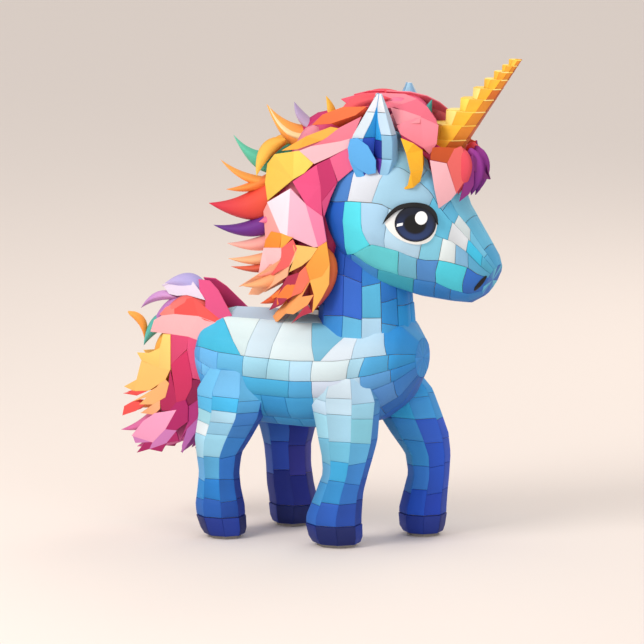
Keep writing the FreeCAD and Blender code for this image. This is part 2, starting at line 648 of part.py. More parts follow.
def locks(name, table, low_y, high_y, tools):
    """A layer of locks glued to each other, trimmed where it meets other pieces."""
    slips = [lock("%s_%d" % (name, i), *entry, low_y, high_y) for i, entry in enumerate(table)]
    return cut(name + "_trimmed", fuse(name + "_fused", slips), tools)


# Mane: card locks in layers from the middle plane outwards, behind the neck and over
# the poll. Each lock is its root, its tip, its bow and its width.
size("layer_1", 12.8)
size("layer_2", 27)
size("layer_3", 48)
size("crown_half", 36)
MANE_MIDDLE = (
    ((20, 432), (-20, 272), -10, 62),
    ((30, 420), (-56, 434), 26, 24),
    ((-2, 412), (-26, 438), 4, 11),
    ((14, 416), (8, 446), -3, 9),
    ((-20, 396), (-90, 399), 26, 13),
    ((-38, 358), (-106, 375), 9, 9),
    ((-36, 372), (-100, 345), 7, 11),
    ((-30, 366), (-119, 328), 18, 26),
    ((-30, 338), (-114, 305), 15, 13),
    ((-18, 296), (-98, 275), 6, 9),
    ((-17, 286), (-95, 267), 8, 9),
)
MANE_INNER = (
    ((22, 430), (-22, 236), -10, 56),
    ((63, 441), (5, 422), 5, 19),
    ((-18, 282), (-76, 252), 8, 12),
    ((-14, 270), (-55, 235), 7, 12),
    ((-4, 262), (-39, 226), 5, 13),
    ((-20, 304), (-58, 262), 8, 15),
)
MANE_OUTER = (
    ((38, 418), (6, 236), -8, 58),
    ((8, 420), (-28, 300), 6, 26),
    ((-2, 310), (-44, 242), 8, 17),
    ((8, 300), (-24, 236), 6, 18),
    ((16, 280), (-8, 226), 5, 16),
    ((26, 312), (0, 232), 6, 20),
    ((34, 300), (10, 230), 5, 15),
)
hair_tools = group("hair_tools", [head_outer, neck_outer, torso_outer])
mane_middle = locks("mane_middle", MANE_MIDDLE, "-dims.layer_1", "dims.layer_1", hair_tools)
piece(mane_middle, "mane_middle")
mane_inner = locks("mane_inner", MANE_INNER, "-dims.layer_2", "-dims.layer_1", hair_tools)
piece(mane_inner, "mane_inner_right")
piece(mirrored("mane_inner_mirrored", mane_inner), "mane_inner_left")
mane_outer = locks("mane_outer", MANE_OUTER, "-dims.layer_3", "-dims.layer_2", hair_tools)
piece(mane_outer, "mane_outer_right")
piece(mirrored("mane_outer_mirrored", mane_outer), "mane_outer_left")

# Crown of the mane: the thick tuft over the poll, between the ears and the horn.
CROWN = (
    ((22, 408), (128, 426), 24, 30),
    ((112, 414), (117, 447), 3, 10),
)
crown_tools = group("crown_tools", [head_outer, neck_outer, collar_outer, horn_outer, ear_leaf,
                                    mirrored("ear_leaf_left", ear_leaf), pieces["mane_middle"],
                                    pieces["mane_inner_right"], pieces["mane_inner_left"],
                                    pieces["mane_outer_right"], pieces["mane_outer_left"]])
piece(locks("mane_crown", CROWN, "-dims.crown_half", "dims.crown_half", crown_tools), "mane_crown")

# Forelock: locks that fall over the forehead on both sides of the horn.
size("forelock_out", 46)
size("forelock_in", 14)
FORELOCK = (
    ((138, 408), (142, 348), -6, 26),
    ((154, 404), (156, 352), -5, 14),
    ((112, 410), (106, 364), -5, 17),
)
forelock_tools = group("forelock_tools", [head_outer, collar_outer, horn_outer, ear_leaf,
                                          pieces["mane_crown"], pieces["eyelashes"],
                                          pieces["eye_whites"]])
forelock = locks("forelock", FORELOCK, "-dims.forelock_out", "-dims.forelock_in", forelock_tools)
pair("forelock", forelock)

# Tail: a stub glued to the rump carries a plume of locks in three layers.
size("tail_x", -118)
size("tail_z", 203)
size("tail_radius", 8)
size("tail_length", 26)
size("tail_lean", -52)
size("tail_half", 9)
size("tail_out", 26)
stub = doc.addObject("Part::Cylinder", "tail_stub_blank")
stub.Placement = FreeCAD.Placement(FreeCAD.Vector(0, 0, 0), FreeCAD.Rotation(FreeCAD.Vector(0, 1, 0), 1))
bind(stub, Radius="dims.tail_radius", Height="dims.tail_length",
     Placement__Base__x="dims.tail_x + dims.tail_radius", Placement__Base__z="dims.tail_z",
     Placement__Rotation__Angle="dims.tail_lean * 1 deg")
tail_stub = cut("tail_stub", stub, torso_outer)
piece(tail_stub, "tail_stub")
TAIL_MIDDLE = (
    ((-104, 216), (-141, 250), 12, 20),
    ((-118, 236), (-167, 245), -8, 20),
    ((-112, 224), (-170, 213), -6, 24),
    ((-133, 236), (-183, 188), -10, 10),
    ((-150, 232), (-193, 218), -7, 9),
    ((-207, 214), (-189, 184), 8, 9),
    ((-150, 214), (-190, 180), -8, 15),
    ((-122, 220), (-134, 78), 26, 56),
    ((-124, 160), (-198, 76), 20, 34),
    ((-150, 150), (-215.5, 92), 14, 18),
    ((-140, 178), (-206, 137), 12, 18),
)
TAIL_SIDE = (
    ((-112, 226), (-168, 206), -9, 22),
    ((-118, 214), (-176, 196), -8, 15),
    ((-120, 210), (-140, 96), 16, 42),
    ((-136, 200), (-176, 160), -8, 22),
    ((-134, 172), (-202, 118), 14, 20),
    ((-130, 150), (-192, 88), 16, 22),
    ((-118, 136), (-144, 76), 6, 16),
)
tail_tools = group("tail_tools", [torso_outer, tail_stub])
piece(locks("tail_middle", TAIL_MIDDLE, "-dims.tail_half", "dims.tail_half", tail_tools), "tail_middle")
tail_side = locks("tail_side", TAIL_SIDE, "-dims.tail_out", "-dims.tail_half", tail_tools)
piece(tail_side, "tail_right")
piece(mirrored("tail_side_mirrored", tail_side), "tail_left")

doc.recompute()
for label, thing in sorted(pieces.items()):
    if "Invalid" in thing.State or "Error" in thing.State:
        raise RuntimeError("failed: " + label)
    if thing.Shape.isNull() or not thing.Shape.isValid() or not thing.Shape.Solids:
        raise RuntimeError("no valid shape: " + label)
for thing in doc.Objects:
    if "Invalid" in thing.State or "Error" in thing.State:
        raise RuntimeError("failed: " + thing.Name)
for label, thing in sorted(pieces.items()):
    thing.Shape.exportStep("parts/%s.step" % label)
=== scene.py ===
import math
import random

import bmesh
import bpy
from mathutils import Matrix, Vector


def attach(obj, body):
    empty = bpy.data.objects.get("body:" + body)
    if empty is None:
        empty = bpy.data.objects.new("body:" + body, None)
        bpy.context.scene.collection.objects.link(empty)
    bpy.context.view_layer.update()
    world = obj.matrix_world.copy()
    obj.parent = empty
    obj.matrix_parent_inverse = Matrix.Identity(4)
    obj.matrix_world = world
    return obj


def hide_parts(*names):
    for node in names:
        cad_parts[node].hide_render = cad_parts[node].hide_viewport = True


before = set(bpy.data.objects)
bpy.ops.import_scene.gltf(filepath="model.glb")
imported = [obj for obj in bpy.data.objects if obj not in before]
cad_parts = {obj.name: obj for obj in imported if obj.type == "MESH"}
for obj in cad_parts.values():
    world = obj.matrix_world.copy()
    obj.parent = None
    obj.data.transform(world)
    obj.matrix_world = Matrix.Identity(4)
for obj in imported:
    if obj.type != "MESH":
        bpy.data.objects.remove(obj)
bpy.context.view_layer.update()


# Moulded pulp walls: the figure is a hollow shell of moulded paper pulp in halves,
# glued along the middle. It only shows in the seams between the tiles, inside the
# body when the sweets hatch is open, and on the back of the hatch flap.
def paper_fibre():
    """Paper seen close: a cloudy tone, short fibres and specks, and a height for bump."""
    group = bpy.data.node_groups.new("paper_fibre", "ShaderNodeTree")
    sockets = group.interface
    sockets.new_socket("Tint", in_out="INPUT", socket_type="NodeSocketColor")
    sockets.new_socket("Clouds", in_out="INPUT", socket_type="NodeSocketFloat").default_value = 0.05
    sockets.new_socket("Fibres", in_out="INPUT", socket_type="NodeSocketFloat").default_value = 0.05
    sockets.new_socket("Gloss", in_out="INPUT", socket_type="NodeSocketFloat").default_value = 0.6
    sockets.new_socket("Color", in_out="OUTPUT", socket_type="NodeSocketColor")
    sockets.new_socket("Roughness", in_out="OUTPUT", socket_type="NodeSocketFloat")
    sockets.new_socket("Height", in_out="OUTPUT", socket_type="NodeSocketFloat")
    nodes, links = group.nodes, group.links
    given = nodes.new("NodeGroupInput")
    out = nodes.new("NodeGroupOutput")
    place = nodes.new("ShaderNodeTexCoord")
    cloud = nodes.new("ShaderNodeTexNoise")
    cloud.inputs["Scale"].default_value = 38
    cloud.inputs["Detail"].default_value = 3
    stretch = nodes.new("ShaderNodeMapping")
    stretch.inputs["Scale"].default_value = (1, 1, 2.6)
    fibre = nodes.new("ShaderNodeTexNoise")
    fibre.inputs["Scale"].default_value = 900
    fibre.inputs["Detail"].default_value = 4
    fibre.inputs["Distortion"].default_value = 1.2
    links.new(place.outputs["Object"], cloud.inputs["Vector"])
    links.new(place.outputs["Object"], stretch.inputs["Vector"])
    links.new(stretch.outputs["Vector"], fibre.inputs["Vector"])

    def math_node(kind, first, second):
        node = nodes.new("ShaderNodeMath")
        node.operation = kind
        for socket, value in zip(node.inputs, (first, second)):
            if isinstance(value, (int, float)):
                socket.default_value = value
            else:
                links.new(value, socket)
        return node.outputs[0]

    cloudy = math_node("MULTIPLY", math_node("SUBTRACT", cloud.outputs["Fac"], 0.5), given.outputs["Clouds"])
    hairy = math_node("MULTIPLY", math_node("SUBTRACT", fibre.outputs["Fac"], 0.5), given.outputs["Fibres"])
    value = math_node("ADD", math_node("ADD", cloudy, hairy), 1)
    tone = nodes.new("ShaderNodeVectorMath")
    tone.operation = "SCALE"
    links.new(given.outputs["Tint"], tone.inputs[0])
    links.new(value, tone.inputs["Scale"])
    links.new(tone.outputs[0], out.inputs["Color"])
    rough = math_node("ADD", given.outputs["Gloss"], math_node("MULTIPLY", hairy, 0.8))
    links.new(rough, out.inputs["Roughness"])
    links.new(fibre.outputs["Fac"], out.inputs["Height"])
    return group


FIBRE = paper_fibre()


def paper(name, tint=None, clouds=0.05, fibres=0.06, gloss=0.6, relief=0.15, sheen=0.0):
    """A paper material of one tint, or of the tints painted on the piece when none is given."""
    material = bpy.data.materials.new(name)
    material.use_nodes = True
    nodes, links = material.node_tree.nodes, material.node_tree.links
    shader = nodes["Principled BSDF"]
    grain = nodes.new("ShaderNodeGroup")
    grain.node_tree = FIBRE
    grain.inputs["Clouds"].default_value = clouds
    grain.inputs["Fibres"].default_value = fibres
    grain.inputs["Gloss"].default_value = gloss
    if tint is None:
        painted = nodes.new("ShaderNodeVertexColor")
        painted.layer_name = "tint"
        links.new(painted.outputs["Color"], grain.inputs["Tint"])
    else:
        grain.inputs["Tint"].default_value = colour(tint)
    bump = nodes.new("ShaderNodeBump")
    bump.inputs["Strength"].default_value = relief
    bump.inputs["Distance"].default_value = 0.0003
    links.new(grain.outputs["Height"], bump.inputs["Height"])
    links.new(grain.outputs["Color"], shader.inputs["Base Color"])
    links.new(grain.outputs["Roughness"], shader.inputs["Roughness"])
    links.new(bump.outputs["Normal"], shader.inputs["Normal"])
    shader.inputs["Specular IOR Level"].default_value = 0.35
    shader.inputs["Sheen Weight"].default_value = sheen
    return material


def colour(text):
    """A linear RGBA colour from six hex digits."""
    parts = [int(text[i:i + 2], 16) / 255 for i in (0, 2, 4)]
    return tuple(p / 12.92 if p < 0.04045 else ((p + 0.055) / 1.055) ** 2.4 for p in parts) + (1,)


def blank_cards():
    """An empty mesh for cards, and its layer of painted tints."""
    mesh = bmesh.new()
    return mesh, mesh.verts.layers.float_color.new("tint")


def finish_node(material, *names):
    """Gives a CAD node its material."""
    for name in names:
        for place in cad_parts[name].material_slots:
            place.material = material


pulp = paper("moulded_pulp", "b9aa95", clouds=0.35, fibres=0.5, gloss=0.9, relief=0.9)
grey_board = paper("grey_board", "9c968d", clouds=0.2, fibres=0.35, gloss=0.85, relief=0.5)
finish_node(pulp, "torso_shell_right", "torso_shell_left", "head_shell_right", "head_shell_left",
            "neck_shell", "hatch_flap")
for corner in ("rear_right", "front_right", "front_left", "rear_left"):
    finish_node(pulp, "leg_%s_shell" % corner)


# Body tiles: flat pieces of coloured card, glued edge to edge over the pulp in bands
# from rump to chest. They are cut by hand, so the seams wander a little. Each card is
# painted lighter towards its upper edge, a painted light from above, and a little
# lighter or deeper to one side at random.
TORSO_ANGLES = (-90, -66, -40, -15, 8, 32, 60, 90)
TORSO_RINGS = (
    (-130, 180, 18, 17, 0), (-116, 178, 40, 38, 0), (-90, 172, 55, 54, 0), (-50, 169, 59, 59, 0),
    (-5, 168, 59, 60, 0), (40, 171, 58, 59, 0), (75, 178, 54, 53, 0), (98, 184, 42, 41, 0),
    (112, 188, 20, 20, 0),
)
CARD = 0.0014
GAP = 0.00028
dice = random.Random(7)


def between(rings, u):
    """The ring before place u, and how far u is on the way to the next one."""
    for i in range(len(rings) - 1):
        low, high = rings[i][0], rings[i + 1][0]
        if (u - low) * (u - high) <= 0:
            return i, (u - low) / (high - low)
    return (0, 0.0) if abs(u - rings[0][0]) < abs(u - rings[-1][0]) else (len(rings) - 2, 1.0)


def long_skin(rings, angles):
    """The outer faceted surface of a part lofted along X: place u along it, corner v round its right side."""
    def corner(ring, k):
        x, z, high, wide, tilt = ring
        turn, lean = math.radians(angles[k]), math.radians(tilt)
        rise = high * math.sin(turn)
        return Vector((x + rise * math.sin(lean), -wide * math.cos(turn), z + rise * math.cos(lean)))

    def at(u, v):
        i, s = between(rings, u)
        k = min(int(v), len(angles) - 2)
        t = v - k
        low = corner(rings[i], k).lerp(corner(rings[i], k + 1), t)
        high = corner(rings[i + 1], k).lerp(corner(rings[i + 1], k + 1), t)
        return low.lerp(high, s) / 1000
    return at


def painted_light_tone(base, s, t, tone_and_light_slope):
    """The card's colour at one point: its base, lighter towards one corner; the rise along t is painted
    light, the rise along s random tone.
    """
    lift = 1 + tone_and_light_slope[0] * (s - 0.5) + tone_and_light_slope[1] * (t - 0.5)
    return [min(1, max(0, c * lift)) for c in base[:3]] + [1]


def level(seam, u):
    """The corner value of a row's seam at place u: one number, or a line of (u, v) points."""
    if not isinstance(seam, tuple):
        return seam
    for (u0, v0), (u1, v1) in zip(seam, seam[1:]):
        if u <= u1:
            return v0 + (v1 - v0) * max(0, min(1, (u - u0) / (u1 - u0)))
    return seam[-1][1]


def lay_tile(mesh, tints, at, edges, low, high, base, gap=GAP):
    """One card: a grid laid on the skin between two slanted edges and the row's two seams."""
    (low0, high0), (low1, high1) = edges

    def skin(s, t):
        left, right = low0 + (high0 - low0) * t, low1 + (high1 - low1) * t
        u = left + (right - left) * s
        return at(u, level(low, u) + (level(high, u) - level(low, u)) * t)

    span_u = max((skin(1, 0) - skin(0, 0)).length, (skin(1, 1) - skin(0, 1)).length, 0.004)
    span_v = max((skin(0, 1) - skin(0, 0)).length, (skin(1, 1) - skin(1, 0)).length, 0.004)
    rim_s, rim_t = gap / span_u, gap / span_v
    made = bmesh.ops.create_grid(mesh, x_segments=max(2, round(span_u / 0.006)),
                                 y_segments=max(2, round(span_v / 0.006)), size=0.5)
    # painted light: the second slope always makes the card lighter towards its upper edge; the first is
    # random tone
    tone_and_light_slope = (dice.uniform(-0.14, 0.14), dice.uniform(0.02, 0.24))
    tip = (dice.uniform(-1, 1) * 0.0003, dice.uniform(-1, 1) * 0.0003)
    base = [c * dice.uniform(0.96, 1.04) for c in base]
    for vert in made["verts"]:
        s, t = vert.co.x + 0.5, vert.co.y + 0.5
        vert[tints] = painted_light_tone(base, s, t, tone_and_light_slope)
        vert.co = skin(rim_s + s * (1 - 2 * rim_s), rim_t + t * (1 - 2 * rim_t))
        vert.co.y -= tip[0] * (s - 0.5) + tip[1] * (t - 0.5)
    return made["verts"]


def lay_row(mesh, tints, at, low, high, places, tiles, gap=GAP):
    """A row of cards. places are the seams, each one number or a (lower end, upper end) pair."""
    ends = [place if isinstance(place, tuple) else (place, place) for place in places]
    for (edge, after), tint in zip(zip(ends, ends[1:]), tiles):
        if tint:
            lay_tile(mesh, tints, at, (edge, after), low, high, colour(tint), gap)


def card_piece(name, mesh, material, body, stands_for, thick=CARD, edge=0.0003):
    """Makes the finished piece of a mesh of thin cards: its thickness, its rounded edges and its place."""
    if not thick:
        bmesh.ops.recalc_face_normals(mesh, faces=mesh.faces)
    for face in mesh.faces:
        face.smooth = len(face.verts) > 3
    data = bpy.data.meshes.new(name)
    mesh.to_mesh(data)
    mesh.free()
    data.materials.append(material)
    thing = bpy.data.objects.new(name, data)
    bpy.context.scene.collection.objects.link(thing)
    if thick:
        wall = thing.modifiers.new("thickness", "SOLIDIFY")
        wall.thickness = thick
        wall.offset = -1
    if edge:
        round_off = thing.modifiers.new("cut_edge", "BEVEL")
        round_off.width = edge
        round_off.segments = 2
        round_off.limit_method = "ANGLE"
        round_off.angle_limit = math.radians(50)
    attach(thing, body)
    if stands_for:
        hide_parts(*stands_for)
    return thing


def outwards(mesh, middle):
    """Turns every loose card to face away from the part's middle line."""
    mesh.normal_update()
    wrong = [face for face in mesh.faces if face.normal.dot(face.calc_center_median() - middle(face)) < 0]
    bmesh.ops.reverse_faces(mesh, faces=wrong)


def mirror_cards(mesh):
    """Copies every card to the other side of the middle plane."""
    copy = bmesh.ops.duplicate(mesh, geom=mesh.verts[:] + mesh.edges[:] + mesh.faces[:])
    verts = [item for item in copy["geom"] if isinstance(item, bmesh.types.BMVert)]
    bmesh.ops.scale(mesh, vec=(1, -1, 1), verts=verts)


# The rows run from pale cards along the back to deep blue ones under the belly: partly the cards' own blues,
# partly painted light from above and painted shade underneath.
TORSO_ROWS = (
    (6.1, 7, (-130, -113, -88, -26, 14, 50, 84, 112),
     ("7fbce0", "a4c8dc", "b0cedd", "b4d6e6", "86bed8", "86bed8", "4a9ad4")),
    (4.42, 6.1, (-130, -117, (-62, -94), (-58, -52), (-31, -26), (18, 4), (24, 57), (56, 60), (90, 80), 112),
     ("3f9fd8", "3ab4de", "ccdfe8", "c4dae6", "cddee8", "72b6d4", "d4e0e8", "b2d4e8", "2e90d4")),
    (3.55, 4.42, (-130, -113, -88, -59, (-33, -31), -8, (15, 16), (52, 55), (64, 70), 92, 112),
     ("4f9edc", "62b2e4", "5ab0d8", "90c8da", "9ecce0", "aad2e8", "ccdce2", "98c8de", "46a0d2", "2a8fd0")),
    (2.8, 3.55, (-130, -110, -86, -59, (-10, -8), 16, (44, 50), (66, 66), 94, 112),
     ("5ca2de", "68b4e4", "5aa8de", "3ea4d4", "4aa2d4", "bccddc", "a6c8e0", "5496cc", "2a84ca")),
    (1.6, 2.8, (-130, -104, -72, -40, -14, 16, (42, 40), 72, 96, 112),
     ("3f98d4", "46a2d8", "389ad0", "2f90c8", "3a9ace", "9ccade", "9ec4dc", "4f86c8", "3476c0")),
    (0.8, 1.6, (-130, -100, -66, -34, -6, 22, 50, 80, 112),
     ("2f86c6", "2f8acc", "2f86c6", "3a98ce", "3f9ed2", "4492cc", "3576be", "2262ae")),
    (0, 0.8, (-130, -96, -58, -20, 20, 60, 112),
     ("1f5cb0", "1a4da0", "1a4898", "1a4da0", "1e54a8", "1e5cb0")),
)
torso_at = long_skin(TORSO_RINGS, TORSO_ANGLES)
HATCH = (-0.033, 0.023, 0.140, 0.196)
HATCH_SLIT = 0.0006
LEFT_FLANK = 0.03


def lay_cap(mesh, tints, at, end, hub, corners, inks):
    """Closes the end of a skin with wedges of card that meet at its hub."""
    for k in range(corners):
        fan = lambda u, v: hub.lerp(at(end, v), u)
        lay_tile(mesh, tints, fan, ((0.02, 0.02), (1, 1)), k, k + 1, colour(inks[k % len(inks)]), gap=0.00005)


def torso_cards():
    """All the cards of the body, cut through along the four sides of the hatch."""
    mesh, tints = blank_cards()
    for v0, v1, places, tiles in TORSO_ROWS:
        lay_row(mesh, tints, torso_at, v0, v1, places, tiles)
    for end, hub, inks in ((112, Vector((0.1125, 0, 0.188)), ("2a84cc", "2a88d0")),
                           (-130, Vector((-0.1305, 0, 0.18)), ("529cd8", "4c98d6"))):
        lay_cap(mesh, tints, torso_at, end, hub, len(TORSO_ANGLES) - 1, inks)
    mirror_cards(mesh)
    outwards(mesh, lambda face: Vector((min(0.08, max(-0.09, face.calc_center_median().x)), 0, 0.17)))
    low_x, high_x, low_z, high_z = HATCH
    for place, way in (((low_x, 0, 0), (1, 0, 0)), ((high_x, 0, 0), (1, 0, 0)),
                       ((0, 0, low_z), (0, 0, 1)), ((0, 0, high_z), (0, 0, 1))):
        left = [face for face in mesh.faces if face.calc_center_median().y > LEFT_FLANK]
        edges = {edge for face in left for edge in face.edges}
        verts = {vert for face in left for vert in face.verts}
        bmesh.ops.bisect_plane(mesh, geom=left + list(edges) + list(verts), dist=1e-6, plane_co=place,
                               plane_no=way)
    return mesh


def in_hatch(face):
    """Whether a face lies on the flap of the hatch."""
    x, y, z = face.calc_center_median()
    return y > LEFT_FLANK and HATCH[0] < x < HATCH[1] and HATCH[2] < z < HATCH[3]


body_card = paper("card_body", clouds=0.07, fibres=0.07, gloss=0.62, relief=0.25)
state = dice.getstate()
mesh = torso_cards()
bmesh.ops.delete(mesh, geom=[face for face in mesh.faces if in_hatch(face)], context="FACES")
card_piece("body_tiles", mesh, body_card, "pinata_body",
           ("torso_facing_right", "torso_facing_left"))


# Hatch tiles: the same cards go on over the flap of the sweets hatch on the left
# flank, and are cut through with the flap, so its outline is all that shows.
dice.setstate(state)
mesh = torso_cards()
bmesh.ops.delete(mesh, geom=[face for face in mesh.faces if not in_hatch(face)], context="FACES")
middle = Vector(((HATCH[0] + HATCH[1]) / 2, 0, (HATCH[2] + HATCH[3]) / 2))
for vert in mesh.verts:
    for axis, low, high in ((0, HATCH[0], HATCH[1]), (2, HATCH[2], HATCH[3])):
        vert.co[axis] = min(high - HATCH_SLIT, max(low + HATCH_SLIT, vert.co[axis]))
card_piece("hatch_tiles", mesh, body_card, "fill_hatch", ("hatch_facing",))


# Hatch closure: a strip of paper tape creased along the top of the flap is its hinge,
# and a round gummed sticker on the lower edge is torn open to fill the figure.
tape = paper("paper_tape", "d9b98a", clouds=0.12, fibres=0.2, gloss=0.5, relief=0.4)
finish_node(tape, "tape_fixed", "tape_moving")
sticker = paper("seal_paper", "e8b93f", clouds=0.08, fibres=0.05, gloss=0.32, relief=0.15)
finish_node(sticker, "closing_seal")


# Neck tiles: tall cards round a twelve-sided tube, deep royal blue under the mane, a
# painted shade of the mane, and brighter towards the chest.
NECK_CORNERS = [math.radians(15 + 30 * k) for k in range(13)]
NECK_RINGS = ((195, 52, 52, 44), (235, 52, 49, 40), (275, 51, 47, 37), (310, 54, 46, 36), (350, 62, 42, 34))


def tall_skin(rings, outlines, middle):
    """The outer surface of a part lofted along Z: height u, corner v of each ring's unit outline."""
    def corner(i, k):
        z, x, long, wide = rings[i]
        return Vector((x + long * outlines[i][k][0], middle + wide * outlines[i][k][1], z))

    def at(u, v):
        i, s = between(rings, u)
        k = min(int(v), len(outlines[i]) - 2)
        low = corner(i, k).lerp(corner(i, k + 1), v - k)
        high = corner(i + 1, k).lerp(corner(i + 1, k + 1), v - k)
        return low.lerp(high, s) / 1000
    return at


neck_at = tall_skin(NECK_RINGS, [[(math.cos(turn), math.sin(turn)) for turn in NECK_CORNERS]] * 5, 0)
NECK_ROWS = (
    # painted shade: the rows at the back of the neck, under the mane, are the deepest blues
    (5.5, 7, (195, 240, 286, 350), ("1552b0", "1048a4", "0d3f98")),
    (7, 8.1, (195, (229, 232), (276, 272), 350), ("2e86cc", "2054bc", "1148a8")),
    (8.1, 8.9, (195, (232, 229), (272, 266), 350), ("5cb0d8", "2a62c4", "1c52b4")),
    (8.9, 9.7, (195, 231, (262, 266), 350), ("a8d0e6", "52b0dc", "2a80cc")),
    (9.7, 10.5, (195, (226, 222), (246, 250), (268, 272), 350), ("3a9cd8", "2288d0", "1c70c4", "1560b4")),
    (10.5, 11.5, (195, 218, 242, 266, 350), ("2f9ada", "1c94d8", "1a80cc", "1566b8")),
)
mesh, tints = blank_cards()
for v0, v1, places, tiles in NECK_ROWS:
    lay_row(mesh, tints, neck_at, v0, v1, places, tiles)
mirror_cards(mesh)
outwards(mesh, lambda face: Vector((0.054, 0, face.calc_center_median().z)))
neck_card = paper("card_neck", clouds=0.08, fibres=0.07, gloss=0.6, relief=0.25)
card_piece("neck_tiles", mesh, neck_card, "pinata_body", ("neck_facing",))


# Head tiles: smaller cards round the head and muzzle, pale round the eyes, cyan on
# the cheeks and deep blue where the mane lies over them, which is painted shade of the mane.
HEAD_ANGLES = (-90, -62, -36, -12, 26, 52, 74, 90)
HEAD_RINGS = (
    (8, 350, 22, 20, 5), (22, 349, 50, 38, 6), (48, 345, 72, 52, 10), (85, 337, 81, 59, 18),
    (115, 319, 70, 56, 26), (135.5, 298.5, 53.6, 47, 26), (161, 282.5, 39, 36, 25.5),
    (177, 273, 29, 29, 26), (186, 271, 18, 19, 26),
)
TOP_SEAM = ((8, 5.2), (60, 5.2), (100, 5.3), (122, 5.4), (150, 5.6), (168, 5.5), (186, 5.6))
BROW_SEAM = ((8, 4.1), (41, 4.05), (65, 4.3), (93, 4.7), (124, 4.7), (139, 4.9), (172, 5), (186, 5))
EYE_SEAM = ((8, 3.2), (32, 3.3), (53, 3.45), (75, 3.55), (93, 3.6), (115, 3.75), (136, 3.95), (146, 4.2),
            (160, 4.35), (186, 4.3))
CHEEK_SEAM = ((8, 1.2), (29, 1.2), (50, 1.5), (66, 1.9), (87, 2.6), (116, 2.9), (131, 3.1), (145, 3.4),
              (158, 3.6), (167, 3.75), (186, 3.8))
JAW_SEAM = ((8, 1.2), (29, 1.2), (50, 1.5), (66, 1.9), (99, 1.7), (120, 1.9), (134, 2.15), (149, 2.35),
            (161, 2.2), (186, 2.2))
HEAD_ROWS = (
    # painted shade: the first card of most rows, at the back of the head under the mane, is the deepest blue
    (TOP_SEAM, 7, (8, 36, 64, 92, 118, 146, 170, 186),
     ("2a6cc0", "4a94d0", "86c0de", "9ccce4", "74c0e2", "64bae0", "4ea6d0")),
    (BROW_SEAM, TOP_SEAM, (8, 34, 56, 78, 104, 128, (140, 138), (158, 152), 174, 186),
     ("1d5cb6", "3f80c8", "86bedc", "8ec4dc", "7cbcde", "5ebce2", "d4dee4", "70c0e0", "54acd2")),
    (EYE_SEAM, BROW_SEAM, (8, 30, (50, 50), (75, 77), (121, 118), (143, 138), (160, 156), (176, 172), 186),
     ("0f55b0", "447ec8", "d2dae0", "98c8e0", "62c0e4", "d4dee4", "3cc0e6", "4ea8cc")),
    (CHEEK_SEAM, EYE_SEAM, (8, (30, 24), (56, 47), (86, 64), (101, 92), (130, 124), (144, 139), (157, 150),
                            (168, 162), 186),
     ("0848a8", "0f54b0", "4ccfe0", "a0c8e0", "aed6e8", "7cc4de", "d6e2e6", "7cb0d2", "54a6c8")),
    (JAW_SEAM, CHEEK_SEAM, (8, 66.5, (120, 115), (134, 129), (149, 144), (172, 167), 186),
     (None, "58c0ce", "6aaece", "4a88c6", "48c6da", "2a66b8")),
    (0.9, JAW_SEAM, (8, 34, 62, (98, 99), 132, 149, 162, 186),
     ("0f4fa3", "1e60bc", "3c84c6", "3aa4b8", "347cc4", "2a76be", "2c7ac2")),
    (0, 0.9, (8, 44, 80, 112, 140, 164, 186),
     ("0c3f94", "1c62b4", "2472bc", "2a7cc2", "2670bc", "1f60b0")),
)
head_at = long_skin(HEAD_RINGS, HEAD_ANGLES)
mesh, tints = blank_cards()
for v0, v1, places, tiles in HEAD_ROWS:
    lay_row(mesh, tints, head_at, v0, v1, places, tiles)
lay_cap(mesh, tints, head_at, 186, Vector((0.1865, 0, 0.271)), 7, ("2a68ba", "3a86c4", "54b0d0"))
lay_cap(mesh, tints, head_at, 8, Vector((0.0075, 0, 0.35)), 7, ("0f4fa3", "1e60bc"))
mirror_cards(mesh)
outwards(mesh, lambda face: Vector((min(0.165, max(0.03, face.calc_center_median().x)), 0,
                                    0.35 - 0.45 * max(0, face.calc_center_median().x - 0.06))))
head_card = paper("card_head", clouds=0.07, fibres=0.07, gloss=0.6, relief=0.25)
card_piece("head_tiles", mesh, head_card, "pinata_body",
           ("head_facing_right", "head_facing_left"))


# Eyes: domed cards stacked on each side of the head: a pointed white, a midnight iris
# that lightens downwards round a black pupil, a lash over its upper edge, and two
# small white lights.
EYE = Vector((121, -49.5, 331))
EYE_TURN = math.radians(12)


def eye_at(a, b, lift):
    """A point of the near eye: a along the head, b up, lift out from the white's dome."""
    out = 5.6 - 0.0085 * max(a, 0) ** 2 - 0.002 * a * a - 0.007 * b * b + lift
    along = Vector((math.cos(EYE_TURN), math.sin(EYE_TURN), 0))
    return (EYE + a * along + b * Vector((0, 0, 1)) + out * Vector((along.y, -along.x, 0))) / 1000


def curve(points, s):
    """A smooth line through points at equal steps, at s from 0 to 1."""
    place = s * (len(points) - 1)
    i = min(int(place), len(points) - 2)
    t = place - i
    before, start, end, after = (points[max(0, min(len(points) - 1, i + n))] for n in (-1, 0, 1, 2))
    return tuple(0.5 * (2 * q + (r - p) * t + (2 * p - 5 * q + 4 * r - w) * t * t
                        + (3 * q - p - 3 * r + w) * t ** 3) for p, q, r, w in zip(before, start, end, after))


def eye_card(mesh, tints, lower, upper, lift, tone):
    """A card between two lines of (a, b) points, painted by tone(a, b)."""
    made = bmesh.ops.create_grid(mesh, x_segments=28, y_segments=12, size=0.5)
    for vert in made["verts"]:
        s, t = 0.003 + 0.994 * (vert.co.x + 0.5), vert.co.y + 0.5
        (a0, b0), (a1, b1) = curve(lower, s), curve(upper, s)
        a, b = a0 + (a1 - a0) * t, b0 + (b1 - b0) * t
        vert[tints] = tone(a, b)
        vert.co = eye_at(a, b, lift)


